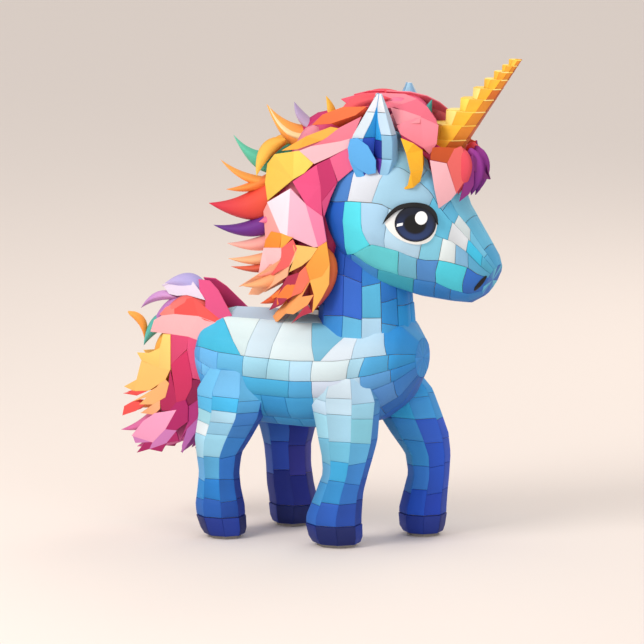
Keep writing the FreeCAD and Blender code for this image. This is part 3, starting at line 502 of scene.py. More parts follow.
def eye_disc(mesh, tints, centre, reach, lift, tone):
    """A round or oval card about centre, painted by tone(distance, height) in shares of its reach."""
    made = bmesh.ops.create_grid(mesh, x_segments=40, y_segments=40, size=1)
    for vert in made["verts"]:
        p, q = vert.co.x, vert.co.y
        p, q = p * math.sqrt(1 - q * q / 2), q * math.sqrt(1 - p * p / 2)
        vert[tints] = tone(math.hypot(p, q), q)
        vert.co = eye_at(centre[0] + p * reach[0], centre[1] + q * reach[1], lift)


def blend(first, last, share):
    """The colour at a share of the way from first to last."""
    return [a + (b - a) * max(0, min(1, share)) for a, b in zip(first, last)]


def iris_tone(distance, height):
    """Midnight blue that lightens downwards, with a dark rim and a black pupil."""
    tone = blend(colour("0a1228"), colour("243c70"), 0.4 - 0.7 * height)
    tone = blend(tone, colour("070c1c"), (distance - 0.82) / 0.14)
    return blend(tone, colour("03050c"), (0.6 - distance) / 0.1)


WHITE_LOW = ((-28, 0.5), (-23, -7), (-15, -14), (-5, -18.5), (6, -20), (16, -17), (22, -9), (24, -1))
WHITE_HIGH = ((-28, 0.5), (-24, 7), (-16, 13), (-6, 17), (4, 18), (14, 15.5), (21, 9), (24, -1))
LASH_LOW = ((-30, -0.5), (-23, 7), (-15, 13.5), (-6, 17), (4, 18), (14, 15.5), (21, 9), (24.5, 0))
LASH_HIGH = ((-30, -0.5), (-25, 9.5), (-16, 18), (-6, 21.5), (5, 22.3), (16, 19.5), (23.5, 11.5), (25.5, 0))
eye_parts = (
    # painted shade: the white greys towards its upper edge, under the lash
    ("eye_whites_domed", "card_white", "eye_whites", 0.0042, lambda mesh, tints: eye_card(
        mesh, tints, WHITE_LOW, WHITE_HIGH, 0,
        lambda a, b: blend(colour("f1f2ef"), colour("b8c4d0"), b / 18))),
    ("irises_domed", "card_midnight", "irises", 0.0008, lambda mesh, tints: eye_disc(
        mesh, tints, (2.8, 0.9), (20.4, 18), 0.8, iris_tone)),
    ("eye_lights", "card_white", "eye_highlights", 0.0006, lambda mesh, tints: (
        eye_disc(mesh, tints, (9, 7.2), (6, 6.6), 1.4, lambda d, h: colour("f6f8fa")),
        eye_card(mesh, tints, ((-15.5, -2.2), (-9.5, -0.6)), ((-15, 0.8), (-9, 2.2)), 1.4,
                 lambda a, b: colour("f0f4f8")))),
    ("lashes", "card_black", "eyelashes", 0.0016, lambda mesh, tints: eye_card(
        mesh, tints, LASH_LOW, LASH_HIGH, 1.8, lambda a, b: colour("08080c"))),
)
eye_paper = paper("card_eyes", clouds=0.03, fibres=0.04, gloss=0.42, relief=0.12)
for name, slot_name, node, thick, draw in eye_parts:
    mesh, tints = blank_cards()
    draw(mesh, tints)
    mirror_cards(mesh)
    outwards(mesh, lambda face: Vector((0.118, 0, 0.33)))
    card_piece(name, mesh, eye_paper, "pinata_body", (node,), thick=thick, edge=0.0002)


# Nostrils: a slanting black slit of card is glued on each side of the muzzle.
mesh, tints = blank_cards()
NOSTRIL_LIFT = 0.0007 * Vector((0.3, -1, 0))
made = bmesh.ops.create_grid(mesh, x_segments=14, y_segments=4, size=0.5)
for vert in made["verts"]:
    s, across = vert.co.x + 0.5, 2 * vert.co.y
    vert[tints] = colour("08080c")
    half_wide = 1.9 * math.sin(math.pi * (0.04 + 0.92 * s)) ** 0.7
    vert.co = head_at(180.6 + 3.4 * s + half_wide * across, 2.5 + 1.4 * s) + NOSTRIL_LIFT
mirror_cards(mesh)
outwards(mesh, lambda face: Vector((0.165, 0, 0.28)))
card_piece("nostril_slits", mesh, eye_paper, "pinata_body", ("nostrils",), thick=0.0008, edge=0)


# Horn: a cone of paper built up in nine courses of card, each course a step in from
# the one below, yellow behind and rust in front, with a red collar round its foot. The
# yellow to rust runs with the way each side faces: partly the cards' own colours, partly
# painted light from behind and painted shade in front. The tops of the steps are
# painted pale yellow, a painted highlight.
HORN_FOOT = Vector((128, 0, 396))
HORN_LEAN = math.radians(41)
HORN_RADIUS, HORN_TAPER, HORN_HEIGHT, HORN_COVER = 18, 16.5, 98, 1.6
HORN_STRETCH = 1.22
EIGHT_TURNS = [math.radians(22.5 + 45 * k) for k in range(9)]
WHOLE = ((0, 0), (1, 1))
COURSES = (15.5, 15, 14, 12.5, 11, 9.5, 8, 6.5, 6)
HORN_LIT_TO_SHADED_TINTS = (("f6d45a", "f8e084", "f2b83a"), ("f4b42e", "f0a22a", "f6c044"),
              ("e8902c", "d9742a", "f09a30"), ("c8602a", "b4521f", "d0702e"))


def horn_outline(z):
    """Eight corners of the horn's level section at height z above its foot."""
    middle = HORN_FOOT + Vector((z * math.tan(HORN_LEAN), 0, z))
    radius = HORN_RADIUS - HORN_TAPER * z / HORN_HEIGHT + HORN_COVER
    return [middle + Vector((HORN_STRETCH * radius * math.cos(turn), radius * math.sin(turn), 0))
            for turn in EIGHT_TURNS]


def ribbon(low, high):
    """A surface between two closed outlines: 0 to 1 from low to high, corner v round them."""
    def at(u, v):
        k = min(int(v), len(low) - 2)
        return low[k].lerp(low[k + 1], v - k).lerp(high[k].lerp(high[k + 1], v - k), u) / 1000
    return at


mesh, tints = blank_cards()
height = 0.0
for course in COURSES:
    low = horn_outline(height - 0.2)
    after = horn_outline(height + course)
    high = []
    for k, (foot, top) in enumerate(zip(low, after)):
        lean = 0.5 + 0.5 * math.cos(EIGHT_TURNS[k])
        straight = Vector((foot.x, foot.y, top.z))
        high.append(straight.lerp(top, min(1, 1.25 * lean)))
    for k in range(8):
        # painted light: each side's tints are picked by which way it faces, yellows lit behind and rusts
        # shaded in front
        facing = 180 - abs((45 * (k + 1)) % 360 - 180)
        light_band = HORN_LIT_TO_SHADED_TINTS[3 if facing < 30 else 2 if facing < 80 else 1 if facing < 120 else 0]
        tint = colour(light_band[dice.randrange(3)])
        lay_tile(mesh, tints, ribbon(low, high), WHOLE, k, k + 1, tint)
        # painted highlight: the tops of the steps take pale yellows
        ledge_highlight = colour(("f8dc74", "f6cc52", "f8e28c")[dice.randrange(3)])
        if (high[k] - after[k]).length > 0.3 or (high[k + 1] - after[k + 1]).length > 0.3:
            lay_tile(mesh, tints, ribbon(high, after), WHOLE, k, k + 1, ledge_highlight)
    height += course
outwards(mesh, lambda face: HORN_FOOT / 1000 + Vector(
    ((face.calc_center_median().z - 0.4) * math.tan(HORN_LEAN), 0, face.calc_center_median().z - 0.4)))
horn_card = paper("card_gold", clouds=0.06, fibres=0.07, gloss=0.55, relief=0.25)
card_piece("horn_courses", mesh, horn_card, "pinata_body", ("horn_cone", "horn_facing"),
           thick=0.0011, edge=0.0002)


def tilted_ring(along, radius):
    """Eight corners of a ring square to the horn's axis."""
    middle = HORN_FOOT + along * Vector((math.sin(HORN_LEAN), 0, math.cos(HORN_LEAN)))
    across = Vector((math.cos(HORN_LEAN), 0, -math.sin(HORN_LEAN)))
    return [middle + radius * (math.cos(turn) * across + math.sin(turn) * Vector((0, 1, 0)))
            for turn in EIGHT_TURNS]


COLLAR = (tilted_ring(-14, 24.5), tilted_ring(11, 23), tilted_ring(12, 16))
mesh, tints = blank_cards()
for k in range(8):
    tint = colour(("dc5420", "e2622a", "c2281e", "e05a24")[k % 4])
    for low, high in zip(COLLAR, COLLAR[1:]):
        lay_tile(mesh, tints, ribbon(low, high), WHOLE, k, k + 1, tint)
outwards(mesh, lambda face: (HORN_FOOT + Vector((2, 0, 2))) / 1000)
collar_card = paper("card_amber", clouds=0.06, fibres=0.07, gloss=0.55, relief=0.25)
card_piece("collar_cards", mesh, collar_card, "pinata_body", ("horn_collar",))


# Ears: pointed cups of card. The rim is folded forward in pale cards, the back is
# sky blue, the hollow is lined with azure, navy and violet, and a flat sky-blue lobe
# of card is glued over the foot of each ear.
PANEL = 0.0012
EAR_RINGS = ((374, 76, 18, 8), (392, 75, 26, 9), (414, 77, 24, 9), (432, 79.4, 15.5, 8),
             (446, 80.8, 8.5, 5.5), (458, 81.5, 2.4, 2))
EAR_AXIS = Vector((0.077, 0.04, 0))
EAR_HOLLOW = (0.9, 1, 0.9, 0.4, 0.02, 0)
EAR_ROWS = (
    ("card_ear", (0, 1), (374, 412, 458), ("5ea6e2", "c8dae8")),
    ("card_ear", (1, 2), (374, 413, 440, 458), ("58aee8", "d4e0ea", "dcdfe8")),
    ("card_cobalt", (2, 3), (374, 396, 414, 458), ("2a3cac", "2450c0", "2898dc")),
    ("card_cobalt", (3, 4), (374, 394, 412, 458), ("5a2e9c", "1a2f94", "2a9fe2")),
    ("card_ear", (4, 5), (374, 394, 418, 440, 458), ("8cc0dc", "86b8da", "bcd9ec", "dcdfe8")),
    ("card_ear", (5, 6), (374, 418, 458), ("7cb6da", "b4d4e8")),
    ("card_ear", (6, 7), (374, 410, 458), ("5a9ed4", "8cc0e2")),
    ("card_ear", (7, 8), (374, 400, 430, 458), ("4a90cc", "64a8da", "9ccae6")),
    ("card_ear", (8, 9), (374, 410, 458), ("4a90cc", "8cc0e2")),
)


def ear_outline(hollow):
    """The ear's cross-section, whose hollow narrows and closes towards the tip."""
    return ((-1, 0), (-0.9, -1), (-0.44 * hollow, -0.95), (0.02, -0.95 + 0.85 * hollow),
            (0.46 * hollow, -0.95), (0.9, -1), (1, 0), (0.5, 0.85), (-0.5, 0.85), (-1, 0))


ear_at = tall_skin(EAR_RINGS, [ear_outline(hollow) for hollow in EAR_HOLLOW], -40)
for slot_name, stands_for in (("card_ear", ("ear_right", "ear_left")),
                              ("card_cobalt", ("ear_liner_right", "ear_liner_left"))):
    mesh, tints = blank_cards()
    for kind, (v0, v1), places, tiles in EAR_ROWS:
        if kind == slot_name:
            lay_row(mesh, tints, ear_at, v0, v1, places, tiles)
    mirror_cards(mesh)
    for face in mesh.faces:
        face.normal_update()
        x, y, z = face.calc_center_median()
        side = 1 if y > 0 else -1
        from_axis = Vector((x - EAR_AXIS.x, y - side * EAR_AXIS.y, 0))
        away = from_axis if slot_name == "card_ear" else Vector((0, side, 0))
        if face.normal.dot(away) < 0:
            face.normal_flip()
    ear_card = paper(slot_name, clouds=0.07, fibres=0.07, gloss=0.6, relief=0.25)
    card_piece("ear_cards" if slot_name == "card_ear" else "ear_lining", mesh, ear_card, "pinata_body",
               stands_for, thick=PANEL)


def cut_panels(panels, depth):
    """Flat cards cut to corners (x, z), laid over each other at the depth their place calls for."""
    mesh, tints = blank_cards()
    for order, (tint, corners) in enumerate(panels):
        # painted light: each panel is painted lighter towards its top, and a little to one side at random
        tint, tone_and_light_slope = colour(tint), (dice.uniform(-0.08, 0.08), dice.uniform(0.06, 0.2))
        reach = [(min(axis), max(axis) - min(axis)) for axis in zip(*corners)]
        verts = []
        for x, z in corners:
            verts.append(mesh.verts.new((x / 1000, (depth(x, z) - 0.09 * order) / 1000, z / 1000)))
            s, t = ((at - low) / size for at, (low, size) in zip((x, z), reach))
            verts[-1][tints] = painted_light_tone(tint, s, t, tone_and_light_slope)
        bmesh.ops.contextual_create(mesh, geom=verts)
    bmesh.ops.triangulate(mesh, faces=mesh.faces)
    mirror_cards(mesh)
    outwards(mesh, lambda face: face.calc_center_median() * Vector((1, 0, 1)))
    return mesh


EAR_LOBE = (
    ("58a8e6", ((54.4, 412.5), (62.1, 413.7), (73.1, 406.5), (81.5, 392.6), (81.5, 379.7), (73.1, 377.7),
                (62.1, 383), (53.3, 390.7), (51.5, 403))),
)
card_piece("ear_lobes", cut_panels(EAR_LOBE, lambda x, z: -50.5), ear_card, "pinata_body", (),
           thick=PANEL)


# Leg tiles: eight columns of card down each leg, paler at the top and deeper towards
# the hoof. They are numbered from the front left corner round by the rear to the
# front, and a column without tones of its own takes those of the last one. The faces
# turned in between the legs, and the front faces of the right legs, take deeper tones:
# partly the cards' own blues, partly painted shade.
FLAT = 1 / math.cos(math.radians(22.5))
OCTAGON = [(math.cos(turn), math.sin(turn)) for turn in EIGHT_TURNS]
LEG_OUT = 43
LEGS = {
    "rear_right": ((172, -72, 24, 11), (150, -75, 34, 16), (124, -77, 30, 19), (100, -86, 25, 20),
                   (85, -90, 19.5, 18.5), (66, -90, 17, 17), (50, -90, 18.5, 17.5), (32, -89, 21.5, 19),
                   (22, -88, 21, 19)),
    "front_right": ((172, 46, 24, 11), (150, 46, 33, 16), (125, 48, 29, 19), (108, 49, 26.5, 20),
                    (91, 48.5, 22.5, 19), (74, 46.5, 19.5, 17.5), (54, 40, 20.5, 18), (30, 34, 24.5, 20),
                    (22, 34, 24.5, 20)),
    "front_left": ((170, 58, 24, 11), (148, 68, 33, 16), (125, 80, 30, 19), (103, 92, 26, 20),
                   (83, 101, 19.5, 18.5), (63, 102, 17.5, 17), (45, 98.6, 19, 17.5), (28, 95.6, 20.5, 18.5),
                   (22, 95.5, 20.5, 18.5)),
    "rear_left": ((172, -66, 24, 11), (150, -65, 34, 16), (124, -58, 30, 19), (100, -51, 25, 20),
                  (82, -51, 20.5, 19), (62, -50, 19.5, 18), (42, -48, 20.5, 18.5), (28, -45, 21, 19),
                  (22, -45, 20.5, 19)),
}
LEG_SEAMS = {
    "rear_right": (172, 144, 131, 118, 106, 84, 60, 40, 22),
    "front_right": (172, 150, 134, 110, 88, 66, 45, 22),
    "front_left": (170, 144, 120, 98, 74, 48, 22),
    "rear_left": (172, 140, 112, 84, 54, 22),
}
LEG_TONES = {
    "rear_right": {4: ("66b4e4", "4fb0e0", "94c8dc", "d4e2e8", "98cee4", "5aa4d4", "2080c8", "1c60b4"),
                   5: ("6ab6e6", "3cb0e4", "a0d0e0", "84bcd8", "8ccae4", "4f9ccc", "1a78c4", "1858ac"),
                   6: ("5aaede", "4a98d4", "3a7cc4", "3a7cc4", "3484cc", "2a74c4", "1e62b8", "1648a0"),
                   7: ("2f78c4", "2a64b8", "2458b0", "2054ac", "1e50a8", "1c48a0", "163c94", "12308c")},
    "front_right": {4: ("a8cce0", "b4d2e4", "9acde2", "6ab4d4", "5aa0cc", "3c8cc8", "2460b8"),
                    5: ("c0d2e2", "b8d6e6", "96cade", "68b8da", "38a6d8", "2c88cc", "2058b4"),
                    6: ("a4cce2", "8cc4de", "7cc4da", "5cb0dc", "3a88d0", "2c70c4", "1c48a8"),
                    7: ("5c9cd0", "4a8cca", "3f80c8", "3472c0", "2c62b8", "2452b0", "183c98")},
    "front_left": {0: ("a4cce2", "7cc4da", "5cb0dc", "3a88d0", "2c70c4", "1c48a8"),
                   1: ("c0d2e2", "96cade", "68b8da", "38a6d8", "2c88cc", "2058b4"),
                   2: ("a8cce0", "9acde2", "6ab4d4", "5aa0cc", "3c8cc8", "2460b8"),
                   3: ("5aa0d0", "4a90c8", "3c80c0", "3070b8", "2860b0", "1c4ca0"),
                   4: ("1a5ca8", "15509c", "2a88bc", "3494c8", "2a74c4", "1440a8"),
                   5: ("2f9adc", "38b4e0", "3a90d4", "2f8ccc", "3078d0", "1850c0"),
                   6: ("38a4e0", "40a0e0", "2a5cc8", "1c50c0", "1a4cbc", "1440b0"),
                   7: ("2f94d8", "3494d8", "1c50c0", "1a4cbc", "1846b4", "123ca4")},
    "rear_left": {0: ("5aaede", "3a7cc4", "2a74c4", "1e62b8", "1648a0"),
                  1: ("6ab6e6", "a0d0e0", "8ccae4", "4f9ccc", "1a78c4"),
                  2: ("66b4e4", "94c8dc", "98cee4", "5aa4d4", "2080c8"),
                  3: ("4a98d4", "3c84c8", "3474c0", "2a62b4", "1c50a4"),
                  4: ("1a5cae", "2f86c0", "2c74c4", "2a58b8", "142c8c"),
                  5: ("1c50a4", "2060b0", "3068c4", "2a50b8", "1a2c8c"),
                  6: ("1c4a9c", "1a3898", "24389c", "34389c", "1c2a88"),
                  7: ("1a4492", "163690", "203490", "2c3094", "182480")},
}


def leg_skin(corner, rings, cover):
    """The outer surface of a leg or hoof under its cards, and its middle in y."""
    middle = -LEG_OUT if corner.endswith("right") else LEG_OUT
    outer = [(z, x, long * FLAT + cover, wide * FLAT + cover) for z, x, long, wide in rings]
    return tall_skin(outer, [OCTAGON] * len(outer), middle), middle


leg_card = paper("card_legs", clouds=0.08, fibres=0.07, gloss=0.6, relief=0.25)
for corner, rings in LEGS.items():
    leg_at, middle = leg_skin(corner, rings, 2)
    mesh, tints = blank_cards()
    heights, tones = LEG_SEAMS[corner], LEG_TONES[corner]
    for k in range(8):
        seams = [heights[0] - 0.1]
        for seam, below in zip(heights[1:-1], heights[2:]):
            seam += (0.12 * (k % 2) - 0.06 + dice.uniform(-0.06, 0.06)) * (seam - below)
            seams.append((seam + dice.uniform(-1.6, 1.6), seam + dice.uniform(-1.6, 1.6)))
        seams.append(22.4)
        lay_row(mesh, tints, leg_at, k, k + 1, seams, tones.get(k, tones[7]), gap=0.00016)
    spine = [Vector((x, middle, z)) / 1000 for z, x, long, wide in rings]
    outwards(mesh, lambda face: min(spine, key=lambda p: abs(p.z - face.calc_center_median().z)))
    card_piece("leg_tiles_" + corner, mesh, leg_card, "pinata_body", ("leg_%s_facing" % corner,))


# Hooves: solid blocks of grey board covered in navy card, each on a thin board sole.
HOOVES = {
    "rear_right": ((22, -88, 21, 19), (8, -85, 19, 17.5), (3, -84, 16.5, 15.5)),
    "front_right": ((22, 34, 24.5, 20), (8, 36, 23, 19), (3, 37, 20, 17)),
    "front_left": ((22, 95.5, 20.5, 18.5), (9, 95, 19, 17.5), (3, 96, 16, 15.5)),
    "rear_left": ((22, -45, 20.5, 19), (10, -45, 19.5, 18), (3, -46, 16, 15.5)),
}
NAVIES = ("14308c", "0e2476", "0a1c60", "1a3898")
navy = paper("card_navy", "0d2a80", clouds=0.15, fibres=0.1, gloss=0.55, relief=0.3)
hoof_card = paper("card_hooves", clouds=0.1, fibres=0.08, gloss=0.55, relief=0.25)
mesh, tints = blank_cards()
hubs = []
for corner, rings in HOOVES.items():
    hoof_at, middle = leg_skin(corner, rings, 2.7)
    for k in range(8):
        lay_row(mesh, tints, hoof_at, k, k + 1, (21.9, 3.2), (NAVIES[dice.randrange(4)],))
    hubs.append(Vector((rings[0][1], middle, 0)) / 1000)
    finish_node(navy, "hoof_" + corner)
    finish_node(grey_board, "sole_" + corner)
outwards(mesh, lambda face: min(hubs, key=lambda p: (p.xy - face.calc_center_median().xy).length)
         + Vector((0, 0, face.calc_center_median().z)))
card_piece("hoof_cards", mesh, hoof_card, "pinata_body", (), thick=0.0007, edge=0.0002)


# Mane: pointed locks of card, each pressed hollow and glued along its rim, so it is
# full in the middle and sharp at its edges. Tufts stand off behind the neck, and flat
# cut panels of yellow, lilac, pink and coral lie over the locks on both sides.
def lay_lock(mesh, tints, root, tip, bow, width, out, thick, first, last):
    """One lock from root to tip (x, z). bow is how far it bulges to its left, out its place in y."""
    root, tip = Vector((root[0], out, root[1])), Vector((tip[0], out, tip[1]))
    way = tip - root
    left = Vector((-way.z, 0, way.x)).normalized()
    first, last = colour(first), colour(last)
    steps = max(10, min(22, round(way.length / 4)))
    rise, fall = 0.5, 0.95
    best = rise / (rise + fall)
    peak = best ** rise * (1 - best) ** fall
    lean = dice.uniform(-0.16, 0.16)
    fold = dice.uniform(-0.25, 0.25)
    for side in (-1, 1):
        made = bmesh.ops.create_grid(mesh, x_segments=steps, y_segments=6, size=0.5)
        for vert in made["verts"]:
            s, across = 0.004 + 0.992 * (vert.co.x + 0.5), 2 * vert.co.y
            swell = s ** rise * (1 - s) ** fall / peak
            share = (across - fold) / ((1 if across > fold else -1) - fold)
            fill = min(1, swell * 1.3) * (1 - 0.55 * share - 0.45 * share ** 4)
            centre = root + way * s + left * (4 * bow * s * (1 - s))
            # painted light: each lock is also painted lighter along one edge
            vert[tints] = painted_light_tone(blend(first, last, s), s, 0.5 + 0.5 * across, (0, 0.16 + lean))
            place = centre + left * (width / 2 * swell * across)
            vert.co = (place + Vector((0, side * thick * fill, 0))) / 1000
        if side == 1:
            half = {face for vert in made["verts"] for face in vert.link_faces}
            bmesh.ops.reverse_faces(mesh, faces=list(half))


def hair_piece(name, locks, material, stands_for, mirror=False):
    """One piece of locks laid over each other, with the same on the other side if mirror is true."""
    mesh, tints = blank_cards()
    for lock in locks:
        lay_lock(mesh, tints, *lock)
    if mirror:
        mirror_cards(mesh)
    bmesh.ops.remove_doubles(mesh, verts=mesh.verts, dist=2e-6)
    return card_piece(name, mesh, material, "pinata_body", stands_for, thick=0, edge=0)


MANE_MIDDLE = (
    ((20, 432), (-22, 268), -10, 64, 0, 12.5, "c8286a", "a81a58"),
    ((30, 420), (-56, 434), 26, 30, 0, 9, "ee7428", "f8b252"),
    ((22, 418), (-54, 433), 22, 13, 0, 10.5, "f6c070", "fae6b8"),
    ((-2, 412), (-26, 438), 4, 12, 0, 6, "c4b2d0", "a896c0"),
    ((14, 416), (8, 446), -3, 10, 0, 5, "f4cc50", "f0b83c"),
    ((-20, 398), (-92, 401), 24, 23, 0, 7, "2e9c86", "62c4a4"),
    ((-38, 358), (-106, 375), 9, 10, 0, 6, "f08a34", "f6a850"),
    ((-36, 372), (-100, 345), 7, 12, 0, 7, "ec6a2c", "f49844"),
    ((-28, 370), (-119, 330), 20, 34, 0, 10, "ee6030", "cc2444"),
    ((-28, 340), (-114, 308), 16, 20, 0, 8, "7c2a90", "5c2a88"),
    ((-22, 316), (-100, 290), 10, 17, 2, 7, "ee8c90", "f4b4a4"),
    ((-18, 296), (-98, 275), 8, 14, 0, 6, "f0a078", "f6bc8c"),
    ((-17, 286), (-95, 267), 8, 11, 0, 6, "c0403c", "e06a48"),
)
MANE_INNER = (
    ((24, 430), (-24, 234), -10, 56, -20, 9, "d8487c", "b02458"),
    ((63, 441), (5, 422), 5, 20, -19, 7, "ee5438", "f48048"),
    ((-30, 402), (-62, 362), -8, 16, -12, 5, "f2a83c", "f6cc5c"),
    ((-18, 282), (-76, 252), 8, 14, -20, 6, "f09a6c", "f4b078"),
    ((-14, 270), (-55, 235), 7, 14, -20, 6, "b8342c", "e0602c"),
    ((-4, 262), (-39, 226), 5, 15, -20, 6, "e87428", "f4a03c"),
    ((-20, 304), (-58, 262), 8, 17, -20, 7, "f0b0a0", "ea8a78"),
    ((-24, 344), (-60, 316), 6, 18, -11, 5, "d8447c", "e878a0"),
)
MANE_OUTER = (
    ((38, 418), (4, 234), -8, 58, -30, 6, "d23c72", "a01c4c"),
    ((8, 420), (-30, 298), 6, 40, -26, 6, "e0889c", "c8506c"),
    ((-14, 330), (-40, 262), 4, 34, -22, 6, "f0a070", "c8506c"),
    ((4, 300), (-20, 232), 4, 34, -32, 5, "d85848", "a83048"),
    ((22, 300), (6, 232), 4, 30, -36, 5, "e87830", "a83048"),
)
MANE_PANELS = (
    ("e8c450", ((-50.4, 338.2), (-54.8, 355.8), (-50.4, 375.5), (-37.3, 387.9), (-9.4, 395), (-10.6, 366.5))),
    ("f0cf5c", ((-10.6, 366.5), (-9.4, 395), (-2.7, 396.4), (12.8, 384.5), (2.7, 374.1))),
    ("ee6a34", ((9.5, 422.4), (19.6, 433.1), (40.6, 441.7), (65.7, 443.3), (54.7, 434.3), (29.4, 424.8))),
    ("eea83c", ((-26, 393.6), (4.6, 411.4), (29.8, 421.9), (41, 420.6), (22.6, 408.6), (-4.4, 397.7))),
    ("e87488", ((-4.4, 397.7), (22.6, 408.6), (40.7, 422.5), (61.4, 433.7), (54.1, 412.1), (42.4, 408.8),
              (10.6, 402))),
    ("f2b8c0", ((-2.7, 396.4), (10.6, 402), (42.4, 408.8), (51.9, 412), (50.2, 402.5), (31.5, 392.6),
              (13.9, 384.2))),
    ("e2608a", ((30.4, 391.1), (50.2, 402.5), (53, 389.9), (55.7, 381.8), (39.2, 367.8))),
    ("bc2a64", ((16.5, 383.9), (30.8, 391.1), (38.5, 367.8), (22.2, 346.4))),
    ("e04c80", ((-10.6, 364.4), (16.5, 383.7), (20.9, 362.9), (22.7, 332.3), (5, 343.2))),
    ("c84478", ((22.2, 346.4), (39.2, 368.2), (31.5, 351.2), (24.4, 331))),
    ("f2a09c", ((-56.1, 326.7), (-49.6, 336.3), (-27.5, 310.4), (-53.8, 297.5))),
    ("ece0ec", ((-50.4, 336.7), (-13.3, 357.4), (-17.3, 309.2), (-27.5, 310.4))),
    ("f2b0c6", ((-13.3, 357.4), (5, 343.2), (18.9, 301.4), (13.9, 300.3), (-17.3, 309.2))),
    ("ea7ea4", ((5, 343.2), (23.1, 332), (27.5, 307.4), (18.3, 301))),
    ("ee8c24", ((-55.4, 289.9), (-53.8, 297.5), (-42.6, 309), (-25.4, 310.4), (-28.4, 295.3))),
    ("f4a43c", ((-25.4, 310.4), (-10.6, 308), (-27.5, 292.4))),
    ("f2ac50", ((9.5, 266.8), (22.7, 271.9), (31, 284.8), (30.2, 264.1), (22.7, 250.1), (12.1, 233.9),
              (13.9, 252.6))),
    ("ee9c3c", ((18.3, 301), (27.5, 307), (31, 284.8), (22.7, 271.9), (9.5, 266.8), (5, 281), (10.6, 288.7))),
    ("b03048", ((13.9, 252.6), (12.1, 234.9), (0.4, 229.9), (-11.9, 221.3), (-1.9, 232.8), (7.3, 241.8))),
    ("f2a05c", ((9.5, 266.8), (13.9, 252.6), (7.3, 241.8), (-9.4, 230.9), (-32.2, 220), (-50.4, 215.9),
              (-20.1, 230.5), (0.4, 249.6))),
    ("a82848", ((-17.3, 268.2), (-1.9, 274.2), (-9.4, 252.7), (-26, 237.8), (-46.4, 228.3), (-32.2, 244.9))),
    ("ee7a34", ((-58.8, 233.3), (-32.2, 244.9), (-17.3, 259.9), (-6.8, 261.3), (-11.9, 248.2),
              (-32.2, 236.6))),
    ("ee7058", ((5, 281), (9.5, 266.8), (0.4, 253.7), (-11.9, 248.2), (-6.8, 261.3), (-1.9, 274.2))),
    ("f4b088", ((-4.9, 297.7), (-7.3, 287.1), (-17.3, 268.2), (-39, 254.9), (-61, 241.5), (-72, 241.2),
              (-82.5, 248.3), (-67.6, 249.3), (-46.4, 259.4), (-14.6, 278.9))),
    ("e8b864", ((-9.4, 301.4), (18.3, 300.2), (10.6, 288.7), (0.4, 280.6), (-14.6, 272.7), (-6.8, 290.3))),
    ("f4bcc0", ((-55.4, 289.9), (-26, 295.8), (-24.5, 287.8), (-44.5, 263), (-62.1, 256.9), (-58.8, 274.8))),
    ("e85e5c", ((-24.5, 296), (-9.9, 306.5), (-4.9, 297.7), (-14.6, 278.9), (-32.2, 269.8), (-44.5, 262.6),
              (-26, 283.3))),
)


def mane_depth(x, z):
    """The panels stand widest over the neck and draw in behind it and towards the crest."""
    return 38 * max(0, min(1, (8 - x) / 62)) ** 2 + 0.3 * max(0, z - 408) - 45.5


hair_card = paper("card_hair", clouds=0.07, fibres=0.07, gloss=0.58, relief=0.22)
hair_piece("mane_middle_locks", MANE_MIDDLE, hair_card, ("mane_middle",))
hair_piece("mane_inner_locks", MANE_INNER, hair_card,
           ("mane_inner_right", "mane_inner_left"), mirror=True)
hair_piece("mane_outer_locks", MANE_OUTER, hair_card,
           ("mane_outer_right", "mane_outer_left"), mirror=True)
card_piece("mane_panels", cut_panels(MANE_PANELS, mane_depth), hair_card, "pinata_body", (),
           thick=PANEL, edge=0.0002)


# Crown and forelock: broad pink locks cover the poll between the ears, with one teal
# spike, and yellow, pink, coral and violet locks fall over the brow beside the horn.
# Flat cut panels in the same tones lie over both.
CROWN = (
    ((20, 406), (128, 424), 24, 30, 0, 21, "e4607c", "d84c78"),
    ((112, 414), (117, 447), 3, 11, -12, 5, "3c9c98", "4aaaa4"),
    ((30, 424), (86, 450), 8, 18, -18, 7, "ee5c62", "dc4858"),
    ((74, 444), (122, 420), 8, 18, -13, 6, "ea7c98", "d84c7c"),
    ((80, 430), (128, 404), 7, 22, -20, 5, "f0909c", "e46c8c"),
)
CROWN_PANELS = (
    ("e4586e", ((31.1, 446.6), (50.4, 452.4), (67.1, 454), (65.7, 448), (62.2, 440.8), (44.6, 440.7))),
    ("ee8494", ((69.4, 453.7), (95.6, 454.1), (110.7, 450.5), (96.7, 445.2), (81.9, 446.3))),
    ("e46a80", ((96.7, 445.2), (110.7, 450.5), (123.5, 443.8), (134.7, 433), (137.9, 427.4), (119.6, 434.3),
              (102.4, 439.1), (90.2, 442.4))),
    ("e87084", ((65.7, 448), (69.4, 453.7), (81.9, 446.3), (96.7, 445.2), (90.2, 442.4), (75.8, 439.7))),
    ("f0909c", ((85.9, 442.1), (102.2, 439.8), (119.9, 435.4), (120.3, 429.1), (97, 427.3))),
    # painted shadow: this thin dark crimson strip low on the crown, beside the horn, stands for shade
    ("a81c50", ((102.9, 417.7), (125.8, 405.2), (132.7, 398.1), (132.7, 392.9), (123.9, 403.1),
              (105.4, 412.8))),
    ("f08494", ((97.3, 426.1), (105.2, 430), (119.4, 435), (138.4, 427.8), (138.4, 409.6), (131.7, 398.7),
              (125.8, 405.2), (102.4, 418.1))),
)
FORELOCK = (
    ((114, 412), (104, 366), 9, 16, -33, 3, "e8a82c", "dc981c"),
    ((136, 408), (134, 372), 4, 24, -27, 4, "b8245c", "9c1a50"),
    ((146, 404), (144, 352), -3, 24, -24, 5, "ee9aa6", "dc7c8c"),
    ((158, 406), (156, 358), 4, 20, -17, 5, "ea5060", "d04050"),
    ((166, 404), (166, 356), 6, 17, -8, 3, "9a3496", "6c1e7c"),
)
